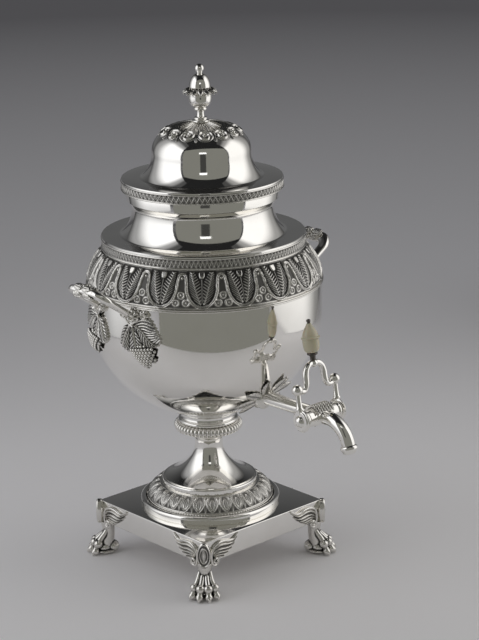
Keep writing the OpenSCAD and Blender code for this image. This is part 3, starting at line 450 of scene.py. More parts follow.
def melt(o, voxel, rounds):
    """Joins overlapping lumps into one skin and eases it."""
    only(o)
    o.data.remesh_voxel_size = voxel
    bpy.ops.object.voxel_remesh()
    return face_out(on_mesh(o, (bpy.ops.mesh.vertices_smooth, {"factor": 0.5, "repeat": rounds})))


def age(o, reach, gain, base):
    """Notes how deep each vertex lies among its neighbours, where the silver has gone dark."""
    me = o.data
    v = get_co(o)
    n = np.empty(len(v) * 3)
    me.vertex_normals.foreach_get("vector", n)
    n = n.reshape(-1, 3)
    e = np.empty(len(me.edges) * 2, dtype=np.int64)
    me.edges.foreach_get("vertices", e)
    a, b = e.reshape(-1, 2).T
    both, other = np.concatenate([a, b]), np.concatenate([b, a])
    near = np.maximum(np.bincount(both, minlength=len(v)), 1)
    s = v.copy()
    for _ in range(reach):
        s = np.stack([np.bincount(both, weights=s[other, k], minlength=len(v)) / near for k in range(3)], axis=1)
    deep = ((s - v) * n).sum(axis=1) * gain + base
    layer = me.attributes.get("patina")
    if layer:
        was = np.empty(len(v), dtype=np.float32)
        layer.data.foreach_get("value", was)
        deep = np.maximum(was, deep)
    tarnish(o, deep)


def settle(o, body, finish, nodes=(), sharp=None):
    """Turns the piece to metres, smooths it, gives it its finish and its body, and hides the CAD nodes that it
    stands in for.
    """
    o.data.transform(Matrix.Scale(MM, 4))
    only(o)
    if sharp:
        bpy.ops.object.shade_smooth_by_angle(angle=math.radians(sharp))
    else:
        bpy.ops.object.shade_smooth()
    o.data.materials.clear()
    o.data.materials.append(bpy.data.materials[finish])
    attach(o, body)
    if nodes:
        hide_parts(*nodes)
    return o


def turned(name, outline, steps, body, node, sharp=None, finish="polished_silver"):
    """A plain turned piece, settled."""
    return settle(lathe(name, outline, steps), body, finish, [node], sharp)


def chased(o, body, nodes, wear, sharp=None):
    """Ages a piece of cast or struck silver and settles it."""
    age(o, *wear)
    return settle(o, body, "chased_silver", nodes, sharp)


def mm(value):
    """Millimetres of a length property."""
    return value / MM


# Finishes

def new_material(name):
    """A node material with its Principled shader, in place of the plain one that came with the CAD."""
    if name in bpy.data.materials:
        bpy.data.materials[name].name = name + "_cad"
    m = bpy.data.materials.new(name)
    m.use_nodes = True
    return m, m.node_tree.nodes, m.node_tree.links, m.node_tree.nodes["Principled BSDF"]


def add(nodes, kind, **values):
    """A new node with these input values; an underscore in a name stands for a space."""
    n = nodes.new(kind)
    for name, value in values.items():
        n.inputs[name.replace("_", " ")].default_value = value
    return n


def smudge_group():
    """A group that gives cloudy wear and fine hairlines from object coordinates."""
    g = bpy.data.node_groups.new("wear", "ShaderNodeTree")
    for name in ("Cloud", "Lines"):
        g.interface.new_socket(name=name, in_out="OUTPUT", socket_type="NodeSocketFloat")
    out = g.nodes.new("NodeGroupOutput")
    where = g.nodes.new("ShaderNodeTexCoord")
    cloud = add(g.nodes, "ShaderNodeTexNoise", Scale=38, Detail=5, Roughness=0.6)
    stretch = add(g.nodes, "ShaderNodeMapping", Scale=(900, 900, 5000))
    lines = add(g.nodes, "ShaderNodeTexNoise", Scale=1, Detail=2)
    g.links.new(where.outputs["Object"], cloud.inputs["Vector"])
    g.links.new(where.outputs["Object"], stretch.inputs["Vector"])
    g.links.new(stretch.outputs["Vector"], lines.inputs["Vector"])
    g.links.new(cloud.outputs["Fac"], out.inputs["Cloud"])
    g.links.new(lines.outputs["Fac"], out.inputs["Lines"])
    return g


def ramp(nodes, links, source, low, high, a, b):
    """Maps a value from low..high to a..b."""
    n = add(nodes, "ShaderNodeMapRange", From_Min=low, From_Max=high, To_Min=a, To_Max=b)
    links.new(source, n.inputs["Value"])
    return n.outputs["Result"]


def mix_color(nodes, links, factor, a, b):
    """Mixes two colours, or the colour of a socket and another, by a value."""
    n = nodes.new("ShaderNodeMix")
    n.data_type = "RGBA"
    for key, color in (("A", a), ("B", b)):
        if hasattr(color, "is_linked"):
            links.new(color, n.inputs[key])
        else:
            n.inputs[key].default_value = (*color, 1)
    links.new(factor, n.inputs["Factor"])
    return n.outputs["Result"]


def worn(name, wear, bump_by, bump_deep):
    """A new finish with the wear group's hairlines pressed into it; gives its shader and the group's clouds."""
    _, nodes, links, p = new_material(name)
    w = nodes.new("ShaderNodeGroup")
    w.node_tree = wear
    bump = add(nodes, "ShaderNodeBump", Strength=bump_by, Distance=bump_deep)
    links.new(w.outputs["Lines"], bump.inputs["Height"])
    links.new(bump.outputs["Normal"], p.inputs["Normal"])
    return nodes, links, p, w.outputs["Cloud"]


def chased_silver(wear):
    """Silver whose hollows have gone dark."""
    nodes, links, p, cloud = worn("chased_silver", wear, 0.05, 0.0003)
    deep = nodes.new("ShaderNodeAttribute")
    deep.attribute_name = "patina"
    dark = ramp(nodes, links, deep.outputs["Fac"], 0.05, 0.85, 0, 1)
    clean = mix_color(nodes, links, cloud, (0.88, 0.865, 0.83), (0.74, 0.72, 0.68))
    links.new(mix_color(nodes, links, dark, clean, (0.045, 0.043, 0.04)), p.inputs["Base Color"])
    links.new(ramp(nodes, links, deep.outputs["Fac"], 0.0, 0.8, 0.16, 0.5), p.inputs["Roughness"])
    links.new(ramp(nodes, links, deep.outputs["Fac"], 0.3, 1.0, 1.0, 0.55), p.inputs["Metallic"])


def plain(name, wear, a, b, rough, metal, bump_by=0.05, bump_deep=0.0003, tone=(0.3, 0.7), gloss=(0.3, 0.7)):
    """A finish of two close colours; tone and gloss are the clouds that change its colour and its roughness."""
    nodes, links, p, cloud = worn(name, wear, bump_by, bump_deep)
    links.new(mix_color(nodes, links, ramp(nodes, links, cloud, *tone, 0, 1), a, b), p.inputs["Base Color"])
    links.new(ramp(nodes, links, cloud, *gloss, *rough), p.inputs["Roughness"])
    p.inputs["Metallic"].default_value = metal
    return p


class URN_OT_finishes(bpy.types.Operator):
    """Makes the finishes and gives them to the CAD nodes that stay."""
    bl_idname = "urn.finishes"
    bl_label = "Finishes"

    def execute(self, context):
        wear = smudge_group()
        plain("polished_silver", wear, (0.96, 0.945, 0.915), (0.92, 0.903, 0.868), (0.035, 0.1), 1,
              0.012, 0.0002, (0.35, 0.7), (0.3, 0.75))
        chased_silver(wear)
        plain("dark_fittings", wear, (0.10, 0.092, 0.085), (0.20, 0.185, 0.17), (0.25, 0.45), 0.9)
        plain("heater_iron", wear, (0.045, 0.043, 0.042), (0.09, 0.085, 0.08), (0.45, 0.7), 0.6, 0.3)
        p = plain("ivory", wear, (0.70, 0.655, 0.50), (0.60, 0.55, 0.39), (0.28, 0.42), 0.0, 0.03)
        p.inputs["Subsurface Weight"].default_value = 0.15
        p.inputs["Subsurface Scale"].default_value = 0.004
        p.inputs["Coat Weight"].default_value = 0.15
        slots = {s["node"]: s["material_slot"] for s in frame["record"]["subparts"]}
        for name, o in frame["nodes"].items():
            o.data.materials.clear()
            o.data.materials.append(bpy.data.materials[slots[name]])
        return {"FINISHED"}


# Plinth, feet and corner mounts

def build_plinth(s):
    """A square box, open below, with eased edges."""
    half, top, low = mm(s.plinth_half), mm(s.plinth_top), mm(s.foot_h)
    wall, ease = 1.6, 0.5
    lone()
    bpy.ops.mesh.primitive_cube_add(size=1)
    o = on_mesh(named("plinth_shown"), (bpy.ops.transform.resize, {"value": (2 * half, 2 * half, top - low)}),
                (bpy.ops.transform.translate, {"value": (0, 0, (top + low) / 2)}))
    pick_faces(o, lambda f: f.normal.z < -0.5)
    bpy.ops.mesh.inset(thickness=wall)
    bpy.ops.mesh.extrude_region_move(TRANSFORM_OT_translate={"value": (0, 0, top - low - wall)})
    bpy.ops.mesh.select_mode(type="VERT")
    bpy.ops.object.mode_set(mode="OBJECT")
    only(o)
    m = o.modifiers.new("ease", "BEVEL")
    m.width = ease
    m.segments = 3
    m.limit_method = "ANGLE"
    m.harden_normals = False
    bpy.ops.object.modifier_apply(modifier=m.name)
    return settle(o, "urn", "polished_silver", ["plinth"], sharp=40)


def build_paw(s):
    """A lion's paw in its own frame: x outwards from the leg, z up from the ground."""
    top = mm(s.foot_h)
    leg = [(0, 0, top), (-0.5, 0, 21), (-0.3, 0, 16), (0.8, 0, 11), (1.6, 0, 7)]
    parts = [tube("leg", smooth_path(leg, 4), [5.9, 5.2, 5.2, 5.8, 6.4], 6),
             ball("heel", (-3.6, 0, 4.9), 5.3, (1, 1.08, 0.92)),
             ball("pad", (3.6, 0, 5.0), 6.6, (1.1, 1.2, 0.7)),
             ball("sole", (3.0, 0, 2.2), 9.2, (1.05, 1.05, 0.24))]
    for k, (spread, out) in enumerate(((-43, 10.4), (-14.5, 11.2), (14.5, 11.2), (43, 10.4))):
        ca, sa = math.cos(math.radians(spread)), math.sin(math.radians(spread))
        row = k - 1.5

        def spot(r, z, wider=0.0):
            """A place along this toe."""
            return r * ca, (r + wider) * sa, z
        toe = [(0.6, 2.28 * row, 20.4), (3.4 * ca, 4.8 * sa + 0.8 * row, 17.0), spot(7.2, 13.4, 1.0),
               spot(out, 9.4, 0.6), spot(out + 2.6, 5.0)]
        claw = [spot(out + 4.0, 4.2), spot(out + 5.4, 2.8), spot(out + 5.8, 0.6)]
        parts += [tube("toe", smooth_path(toe, 5), [1.6, 1.9, 2.1, 2.3, 2.2], 5),
                  ball("knuckle", spot(out, 9.2, 0.8), 3.7, (1, 1, 0.95)),
                  ball("toe_tip", spot(out + 3.0, 3.5, 0.2), 3.0),
                  tube("claw", smooth_path(claw, 5), [1.7, 1.4, 0.7], 4)]
    o = melt(join("paw", parts), 0.42, 1)
    co = get_co(o)
    co[:, 2] = np.clip(co[:, 2], 0.02, top)
    set_co(o, co)
    age(o, 14, 4.2, 0.12)
    return o


CORNERS = {"back_right": 45, "back_left": 135, "front_left": 225, "front_right": 315}


def at_corners(o, label, node, matrix, sharp=None):
    """A copy of a piece at each corner of the plinth, in place of the piece itself."""
    for name, angle in CORNERS.items():
        settle(copy(o, label + name, turn("Z", angle) @ matrix), "urn", "chased_silver", [node + name], sharp)
    bpy.data.objects.remove(o)


WING = (((7.2, 8.2), (9.0, 11.2), (11.8, 13.1), (15.8, 14.1), (20.6, 13.8), (24.8, 12.6), (28.6, 12.6),
         (32.2, 14.8), (34.6, 17.2)),
        ((8.2, 6.7), (10.1, 8.4), (13.4, 9.8), (17.3, 10.2), (21.4, 9.6), (25.4, 9.4), (28.8, 10.3), (32.4, 12.9)),
        ((8.8, 5.4), (10.6, 6.4), (13.0, 7.4), (16.3, 7.6), (19.8, 7.1), (23.0, 6.9), (26.3, 7.2), (29.8, 8.6)),
        ((9.2, 4.5), (10.6, 5.0), (12.6, 5.5), (15.4, 5.4), (18.2, 5.0), (21.0, 4.8), (23.4, 5.0), (26.0, 5.8)),
        ((9.6, 3.8), (10.8, 4.0), (12.4, 4.1), (14.2, 3.8), (16.0, 3.4), (17.8, 3.0), (19.4, 2.8), (21.2, 2.7)),
        ((10.0, 3.1), (11.0, 3.2), (12.0, 3.1), (13.0, 2.8), (14.0, 2.4), (15.0, 1.9), (16.0, 1.5), (17.0, 1.2)))
BROW = ((7.0, 1.2, 1.2), (6.5, 4.6, 1.2), (6.9, 8.6, 1.3), (8.6, 12.0, 1.5), (11.6, 14.0, 1.6), (15.8, 15.0, 1.6),
        (20.8, 14.6, 1.5), (25.0, 13.4, 1.4), (28.8, 13.4, 1.3), (32.3, 15.4, 1.1), (34.8, 17.3, 0.7))
BOSS = ((0, -6.5), (2.2, -6.5), (5.3, -1.6), (5.3, 1.2), (4.7, 2.6), (4.1, 1.4), (3.6, 1.3), (3.1, 2.3), (2.4, 1.2),
        (0, 1.2))
BOSS_STRETCH = 1.98


def wing_sheet():
    """One wing on the plinth's side: x from the corner, y up from the plinth's foot, z out."""
    o, u, v = grid("wing", 64, 90)
    feathers = len(WING) - 1
    k = np.minimum((v * feathers).astype(int), feathers - 1)
    f = v * feathers - k
    t = u * (0.92 + 0.08 * np.sin(np.pi * f) ** 0.6)
    ends = []
    for line in (np.array(smooth_path(points, 8)) for points in WING):
        at = np.linspace(0, 1, len(line))
        ends.append(np.stack([np.interp(t, at, line[:, c]) for c in range(2)], axis=1))
    ends = np.array(ends)
    each = np.arange(len(u))
    xy = ends[k, each] * (1 - f)[:, None] + ends[k + 1, each] * f[:, None]
    quill = ridge(f - 0.42, 0.3)
    edge = np.clip(np.minimum.reduce([v * 18, (1 - v) * 18, (1 - u) * 20]), 0, 1)
    z = (0.35 + 1.75 * quill + 0.5 * np.sin(np.pi * u)) * np.sqrt(edge)
    set_co(o, np.column_stack([xy, z]))
    tarnish(o, 0.82 - 1.25 * quill)
    return o


def build_boss(at):
    """The oval boss with a ring and a spine, moved to its place."""
    o = lathe("oval", rounded(BOSS, 0.4, 4), 72)
    co = get_co(o)
    out = np.hypot(co[:, 0], co[:, 1])
    deep = (co[:, 2] < 1.75) & (co[:, 2] > 0.9) & (out < 4.6)
    co[:, 1] *= BOSS_STRETCH
    spine = ridge(co[:, 0], 0.8) * np.clip(1.4 - (co[:, 1] / 4.6) ** 2, 0, 1) * (out < 2.7)
    co[:, 2] += np.where(co[:, 2] > 0.5, 1.5 * spine, 0)
    set_co(o, co)
    tarnish(o, np.where(deep, 0.75 - spine, 0.0))
    return place(o, at)


def build_mount(s):
    """The oval and its two wings, in the frame of the corner at +X +Y."""
    low, half = mm(s.foot_h), mm(s.plinth_half)
    eye_x, eye_y, eye_r, steps = 10.7, 0.5, 3.7, 79
    spiral = []
    for t in (i / steps for i in range(steps + 1)):
        a = math.radians(170 + 620 * t)
        r = eye_r * (1 - t) + 0.5 * t
        spiral.append((eye_x + r * math.cos(a), eye_y + r * math.sin(a), 1.2 + 1.1 * t))
    eye = ball("eye", (eye_x, eye_y, 0.7), 3.6, (1, 1, 0.3))
    tarnish(eye, np.full(len(eye.data.vertices), 0.85))
    brow = tube("brow", smooth_path(BROW, 8), [1.0, 1.0, 1.0, 1.05, 1.05, 0.95, 0.9, 0.6], 4)
    wing = join("wing", [wing_sheet(), tube("volute", spiral, [1.05, 1.0, 0.85, 0.95], 4), eye, brow])
    side_x = Matrix(((-1, 0, 0, half), (0, 0, 1, half), (0, 1, 0, low), (0, 0, 0, 1)))
    side_y = Matrix(((0, 0, 1, half), (-1, 0, 0, half), (0, 1, 0, low), (0, 0, 0, 1)))
    left, right = copy(wing, "wing_a", side_x), copy(wing, "wing_b", side_y)
    bpy.data.objects.remove(wing)
    stand = Matrix(((0, 0, 1, 0), (1, 0, 0, 0), (0, 1, 0, 0), (0, 0, 0, 1)))
    boss = build_boss(turn("Z", 45) @ shift(half * math.sqrt(2) + 0.6, 0, low + 8.3) @ stand)
    o = join("mount", [left, right, boss])
    age(o, 5, 1.2, 0.03)
    return o


class URN_OT_base(bpy.types.Operator):
    """Builds the plinth, the paw feet and the corner mounts."""
    bl_idname = "urn.base"
    bl_label = "Plinth and feet"

    def execute(self, context):
        s = context.scene.urn_foot
        build_plinth(s)
        at_corners(build_paw(s), "paw_", "foot_", shift(mm(s.leg_at) * math.sqrt(2), 0, 0))
        at_corners(build_mount(s), "mount_", "wings_", turn("Z", -45), sharp=55)
        return {"FINISHED"}


# Foot and stem

def repeat(angle, n, pitch, phase):
    """How far each angle lies from the middle of its repeat, in millimetres along a band of n repeats."""
    return (((angle - phase) * n / TAU + 0.5) % 1.0 - 0.5) * pitch


def leaf_relief(n, phase):
    """Hanging leaves with doubled outlines, and the tips of a second row between them."""
    pitch, end, ease = 10.4, 15.6, 0.8

    def height(angle, v):
        au = np.abs(repeat(angle, n, pitch, phase))
        w = 4.75 * np.clip((v - 0.7) / 6.6, 0, 1) ** 0.6 * (1 - 0.22 * np.clip((v - 9.5) / 6, 0, 1) ** 2)
        d = au - w
        leaf = np.clip(-d / 0.4, 0, 1)
        h = -0.62 + leaf * 0.12
        h += 0.8 * ridge(d + 0.35, 0.4) * (v > 0.6)
        h += 0.5 * ridge(d + 1.6, 0.32) * (v > 2.2)
        lens = np.abs(au - 1.75 * np.sin(np.pi * np.clip((v - 2.8) / 9.5, 0, 1)) ** 0.7)
        h += 0.55 * ridge(lens, 0.34) * (v > 2.6) * (v < 12.6) + 0.35 * ridge(au, 0.3) * (v > 3.2) * (v < 12)
        h += 0.1 * np.cos(TAU * (v + 0.7 * au) / 1.7) * leaf * (au > 1.9)
        gap = pitch / 2 - au
        h += (1 - leaf) * (0.34 * ridge(gap - 0.22 * np.clip(v - 0.4, 0, 9), 0.3) + 0.26 * ridge(gap, 0.3))
        ring = np.hypot(gap, v - 13.0)
        h += 0.45 * ridge(ring - 1.5, 0.4) + 0.25 * ridge(ring, 0.5)
        return h * np.clip(v / ease, 0, 1) * np.clip((end - v) / ease, 0, 1)
    return height


def foot_levels(s):
    """Heights of the leaf band's foot and top, the top of the ring over it, and the stem's top."""
    top = mm(s.plinth_top)
    return top + 7.5, top + 18.0, top + 22.5, top + 62.5


def build_band(s, n):
    """The base ring, the leaf band with its beaded wire, and the ring over it."""
    top, base, leaf, ring = mm(s.plinth_top), mm(s.base_r), mm(s.leaf_r), mm(s.ring_r)
    z1, z2, z3, _ = foot_levels(s)
    seat, roll = leaf - 6, 2.6
    outline = [(seat, top), (base - 0.6, top), (base, top + 0.8), *arc(base - roll, top + 4.3, roll, 0, 90, 9),
               (base - 4.2, top + 6.6), (leaf + 1.2, top + 4.6), (leaf - 2, top + 4.6), (seat, top + 4.6),
               (seat, top)]
    turned("base_ring_shown", rounded(outline, 0.5), 160, "urn", "base_ring", 35)
    outer = cubic((leaf, z1), (leaf + 0.4, z1 + 6.0), (ring + 5, z2), (ring + 0.6, z2), 40)
    foot = (leaf - 5, z1 - 0.6)
    outline = [foot, (leaf + 0.2, z1 - 0.6), *outer, (ring - 5, z2), foot]
    o = ring_sheet("leaf_band", outline, n * 28)
    emboss(o, outline, 2, 1 + len(outer), leaf_relief(n, math.radians(-129.3)), (-0.85, 0.05))
    chased(o, "urn", ["foot_leaf_band"], (8, 1.3, 0.06))
    wire = beaded_wire("leaf_wire", leaf + 0.2, z1 - 1.2, 0.75, 560, 0.24, 140)
    chased(wire, "urn", (), (4, 3.0, 0.2))
    inner, roll = ring - 3.4, 1.2
    outline = [(ring - 3, z2 - 0.4), (ring - 0.4, z2 - 0.4), (ring, z2 + 0.4), (ring, z3 - roll),
               *arc(ring - roll, z3 - roll, roll, 0, 90, 6), (inner, z3 - 0.6), (inner, z2), (ring - 3, z2 - 0.4)]
    turned("foot_ring_shown", rounded(outline, 0.35), 144, "urn", "foot_ring", 35)


def build_stem(s):
    """The spool stem: a broad sweep up to its waist, and a short flare under the collar."""
    _, low, _, top = foot_levels(s)
    foot, waist, head = mm(s.ring_r) - 2.4, mm(s.stem_r), mm(s.gadroon_r) - 5
    narrow = (waist + 1.2, low + 31.5)
    outline = [(0, low), (foot, low), (foot, low + 5.1),
               *cubic((foot, low + 5.2), (24.5, low + 8.2), (waist + 1.6, low + 19), narrow, 30),
               *cubic(narrow, (waist + 1.0, low + 36), (waist + 3.5, top - 3.2), (head, top), 16)[1:], (0, top)]
    turned("stem_shown", outline, 128, "urn", "stem", 50)


def build_collars(s, n):
    """The gadrooned collar, the necking over it and the rope under the bowl."""
    r, z, high = mm(s.gadroon_r), foot_levels(s)[3], 6.5
    lobe = arc(r - 3.4, z + 3.0, 3.6, -80, 84, 18)
    seat = r - 6
    outline = [(seat, z - 0.8), (r - 4.2, z - 0.6), *lobe, (r - 3.8, z + high), (seat, z + high), (seat, z - 0.8)]
    o = ring_sheet("gadroons", outline, n * 14)

    def lobes(angle, run):
        f = (angle * n / TAU) % 1.0
        return (np.sqrt(np.clip(1 - (2 * f - 1) ** 2, 0, 1)) - 0.85) * 1.1 * np.clip(run / 0.8, 0, 1)
    emboss(o, outline, 2, 1 + len(lobe), lobes)
    chased(o, "urn", ["gadroon_collar"], (7, 2.6, 0.02))
    z += high
    outline = [(0, z), *arc(r - 4.7, z + 1.7, 1.7, -90, 78, 9),
               *cubic((21.8, z + 3.6), (21.0, z + 5.0), (21.0, z + 6.4), (21.6, z + 7.8), 8),
               *arc(21.8, z + 9.1, 1.1, -70, 80, 6), (0, z + 10.2)]
    turned("necking_shown", outline, 128, "urn", "necking")
    rope = beaded_wire("bowl_rope", 23.0, z + 10.1, 0.8, 500, 0.2, 62, 3, z)
    chased(rope, "urn", (), (4, 3.0, 0.1))


class URN_OT_foot(bpy.types.Operator):
    """Builds the rings, the leaf band, the stem and the collars under the bowl."""
    bl_idname = "urn.foot"
    bl_label = "Foot and stem"

    def execute(self, context):
        s, orn = context.scene.urn_foot, context.scene.urn_ornament
        build_band(s, orn.leaf_n)
        build_stem(s)
        build_collars(s, orn.gadroon_n)
        return {"FINISHED"}


# Vessel

BOWL_POWER = 1.9


def bowl_at(s, z):
    """Radius of the bowl's outside at a height."""
    below = np.clip((mm(s.bowl_wide_z) - np.asarray(z, dtype=float)) / mm(s.bowl_depth), 0, 0.999)
    return mm(s.bowl_r) * (1 - below ** BOWL_POWER) ** (1 / BOWL_POWER)


def bowl_side(r, depth, wide, low, n):
    """The bowl's side from its seat up to its widest height."""
    end = math.asin(min(((wide - low) / depth) ** (BOWL_POWER / 2), 1.0))
    return [(r * math.cos(end * (1 - i / n)) ** (2 / BOWL_POWER),
             wide - depth * math.sin(end * (1 - i / n)) ** (2 / BOWL_POWER)) for i in range(n + 1)]


def frieze_relief(n, phase, high):
    """Tongues with a palmette in each, a ribbon that loops between them, and three rings in each spandrel."""
    pitch, full = 31.4, 30.4
    half, wide, bow, round_z = pitch / 2, 11.9, 16.0, 17.8
    loop_r, loop_z = 2.9, 24.3
    line = [(wide * math.sin(a), round_z - bow * math.cos(a)) for a in np.linspace(0, math.pi / 2, 24)]
    line += [(wide + (half - loop_r - wide) * (t / 8) ** 1.6, round_z + 6.5 * t / 8) for t in range(1, 9)]
    line += [(half - loop_r * math.cos(a), loop_z + loop_r * math.sin(a)) for a in np.linspace(0.2, math.pi / 2, 8)]
    line = np.array(line)

    def height(angle, run):
        u = np.abs(repeat(angle, n, pitch, phase))
        v = run * full / high
        d = beside(u, v, line)[0]
        w = np.where(v < round_z, wide * np.sqrt(np.clip(1 - ((round_z - v) / bow) ** 2, 0, 1)), 12.2)
        inside = u < w
        h = np.where(inside, -0.86, -0.52)
        up = np.clip((v - 3.4) / 25.6, 0, 1)
        side = u - (1.1 + 7.6 * up ** 0.9)
        broad = 5.3 * np.sin(np.pi * np.clip(up * 0.86 + 0.05, 0, 1)) ** 0.6
        fern = np.clip((broad - np.abs(side)) / 0.5, 0, 1) * np.clip((w - 1.9 - u) / 0.5, 0, 1)
        fern *= np.clip((u - 0.5) / 0.4, 0, 1) * inside * (v > 3.6) * (v < 29.2)
        barb = np.cos(TAU * (v - 0.75 * np.abs(side) - 0.2 * u) / 2.0)
        h += fern * (0.2 + 0.55 * barb * np.clip(np.abs(side) / 0.7, 0, 1) + 0.3 * (1 - (side / 4.4) ** 2))
        h += 0.55 * fern * ridge(side, 0.36)
        h += 0.8 * ridge(u, 0.36) * inside * np.clip((v - 3.5) / 2, 0, 1) * (v < 23.5)
        pane = (u < 0.4 * (v - 20.5)) * (v > 23.6) * (v < 28.6) * (u < 2.3)
        h = np.where(pane, 0.35, h)
        h += 1.25 * ridge(d - 0.62, 0.46) + 0.25 * (d < 0.9)
        bead = np.hypot(half - u, v - 24.0)
        h += np.sqrt(np.clip(1 - (bead / 1.3) ** 2, 0, 1))
        for at_u, at_v in ((half, 11.0), (half - 3.9, 5.2)):
            ring = np.hypot(at_u - u, v - at_v)
            h += 0.85 * ridge(ring - 2.4, 0.6) + 0.7 * ridge(ring, 0.9)
        h += 0.91 * ridge(v - 0.9, 0.45)
        h = np.where(v < 1.4, np.maximum(h, -0.2), h)
        return h * np.clip(v / 0.5, 0, 1) * np.clip((full - v) / 0.7, 0, 1)
    return height


def zigzag_relief(n, high):
    """A zigzag with a second line above and below it."""
    deep, swing = 0.42, 0.75

    def height(angle, run):
        v = (run - high / 2) / (high / 2)
        far = np.abs(v - swing * (2 * np.abs(2 * ((angle * n / TAU) % 1.0) - 1) - 1))
        lines = 1.6 * ridge(far, 0.3) + ridge(far - 0.85, 0.22) - 1.0
        return deep * lines * np.clip((1 - np.abs(v)) / 0.12, 0, 1)
    return height


def banded(name, r, z0, z1, inner, n, per, body, node):
    """A ring with a plain wire along each edge and a zigzag strip between them, settled."""
    rows, wire = 14, (z1 - z0) * 0.085
    low, high = z0 + 2 * wire, z1 - 2 * wire
    lower = [(inner, z0), *arc(r - wire, z0 + wire, wire, -90, 84, 8)]
    strip = [(r - wire * 0.9, low + (high - low) * i / rows) for i in range(rows + 1)]
    outline = [*lower, *strip, *arc(r - wire, z1 - wire, wire, -84, 90, 8), (inner, z1), (inner, z0)]
    o = ring_sheet(name, outline, n * per)
    emboss(o, outline, len(lower), len(lower) + rows, zigzag_relief(n, high - low), (-0.4, 0.14))
    chased(o, body, [node], (4, 1.6, 0.12))


def build_bowl(s):
    """The raised bowl, and two wires round its upper edge."""
    r, depth, wide, top = mm(s.bowl_r), mm(s.bowl_depth), mm(s.bowl_wide_z), mm(s.bowl_top)
    low, sheet = mm(s.bowl_low), mm(s.sheet)
    side = [*bowl_side(r, depth, wide, low, 60), (r, wide + 12), (r, top)]
    hollow = bowl_side(r - sheet, depth - sheet, wide, low + sheet, 40)[::-1]
    outline = [(0, low), *side, (r - sheet, top), (r - sheet, wide), *hollow, (0, low + sheet)]
    turned("bowl_shown", outline, 192, "urn", "bowl", 50)
    wire = arc(mm(s.frieze_r) - 0.6, top - 1.75, 0.62, -180, 180, 10)
    o = join("frieze_wires", [lathe("wire_low", wire, 160),
                              lathe("wire_high", [(p[0] + 0.1, p[1] + 1.3) for p in wire], 160)])
    chased(o, "urn", ["frieze_wire"], (2, 1.0, 0.12))


def build_bands(s, orn):
    """The convex frieze and the shoulder band over it."""
    inner, low, high = mm(s.bowl_r) - mm(s.sheet), mm(s.bowl_top), mm(s.frieze_top)
    foot, head, rows, n = mm(s.frieze_r) - 1.35, mm(s.shoulder_r), 72, orn.frieze_n
    outer = [(foot - (foot - head + 0.8) * (i / rows) ** 2, low + (high - low) * i / rows) for i in range(rows + 1)]
    outline = [(inner, low), *outer, (head - 3.2, high), (head - 3.2, high - 2), (inner - 1, low + 1.5),
               (inner, low)]
    o = ring_sheet("frieze", outline, n * 72)
    relief = frieze_relief(n, math.radians(-132.6), run_along(outer)[-1])
    emboss(o, outline, 1, rows + 1, relief, (-0.74, 0.2))
    chased(o, "urn", ["frieze_band"], (10, 1.6, 0.16))
    banded("shoulder_strip", head, high, mm(s.shoulder_top), head - 3.6, orn.shoulder_n, 9, "urn", "shoulder_band")


def build_neck(s):
    """The concave neck with its flange and its collar."""
    r, sheet, low, top = mm(s.neck_r), mm(s.sheet), mm(s.shoulder_top), mm(s.neck_top)
    flange, rim, lean, bend = mm(s.shoulder_r) - 0.5, 58.3, 48, 3.0
    waist, foot = low + (top - low) * 0.6, top - 7.54
    throat = [(r + (rim - r) * (i / 12) ** 2, waist + (foot - waist) * i / 12) for i in range(1, 13)]
    collar = [(rim, foot), (rim + 0.7, foot + 0.2), (rim + 0.7, top), (rim - 1.5, top), (rim - 1.5, foot)]
    outline = [(flange - 5, low), (flange, low), (flange, low + sheet - 0.5), (flange - 0.5, low + sheet),
               *bell(r, waist, low + sheet, lean, bend), *throat, *rounded(collar, 0.5, 3),
               *((p[0] - sheet, p[1]) for p in throat[::-1]),
               *bell(r - sheet, waist, low + 0.2, lean, bend + sheet)[::-1], (flange - 5, low)]
    turned("neck_shown", outline, 176, "urn", "neck", 40)


class URN_OT_vessel(bpy.types.Operator):
    """Builds the bowl, the frieze, the shoulder band and the neck."""
    bl_idname = "urn.vessel"
    bl_label = "Vessel"

    def execute(self, context):
        s = context.scene.urn_vessel
        build_bowl(s)
        build_bands(s, context.scene.urn_ornament)
        build_neck(s)
        return {"FINISHED"}


# Lid and finial

DOME_POWER = 2.3


def dome_side(r, wide, top, n):
    """The dome from its widest height to its crown."""
    return [(r * math.cos(math.pi / 2 * i / n) ** (2 / DOME_POWER),
             wide + (top - wide) * math.sin(math.pi / 2 * i / n) ** (2 / DOME_POWER)) for i in range(n + 1)]


def leaflet(name, long, wide, place_at, nu, nv, teeth=0, ribs=3, curl=0.0, fat=1.0, point=0.75):
    """A leaf laid along x, shaped by place_at(along, across, height) into its place."""
    o, u, v = grid(name, nu, nv)
    w = wide / 2 * np.sin(np.pi * np.clip(u * 0.985 + 0.01, 0, 1) ** point) ** 0.7
    if teeth:
        w = w * (1 + 0.2 * ((u * teeth) % 1.0 - 0.5) * np.clip(u * 6, 0, 1))
    side = (v - 0.5) * 2
    y = side * w
    x = u * long + (0.18 * np.abs(y) if teeth else 0)
    vein = np.cos(TAU * (u * ribs * 1.6 - 0.55 * np.abs(side)))
    h = fat * (0.9 * (1 - side ** 2) * np.clip(np.minimum(u * 5, (1 - u) * 5), 0, 1)
               + 0.28 * vein * np.abs(side) * (1 - np.abs(side) ** 4) - 0.55 * ridge(np.abs(side) - 0.16, 0.09)
               + 0.25 * ridge(side, 0.1))
    set_co(o, place_at(x, y, h + curl * np.clip(u - 0.55, 0, 1) ** 2 * 5))
    return o


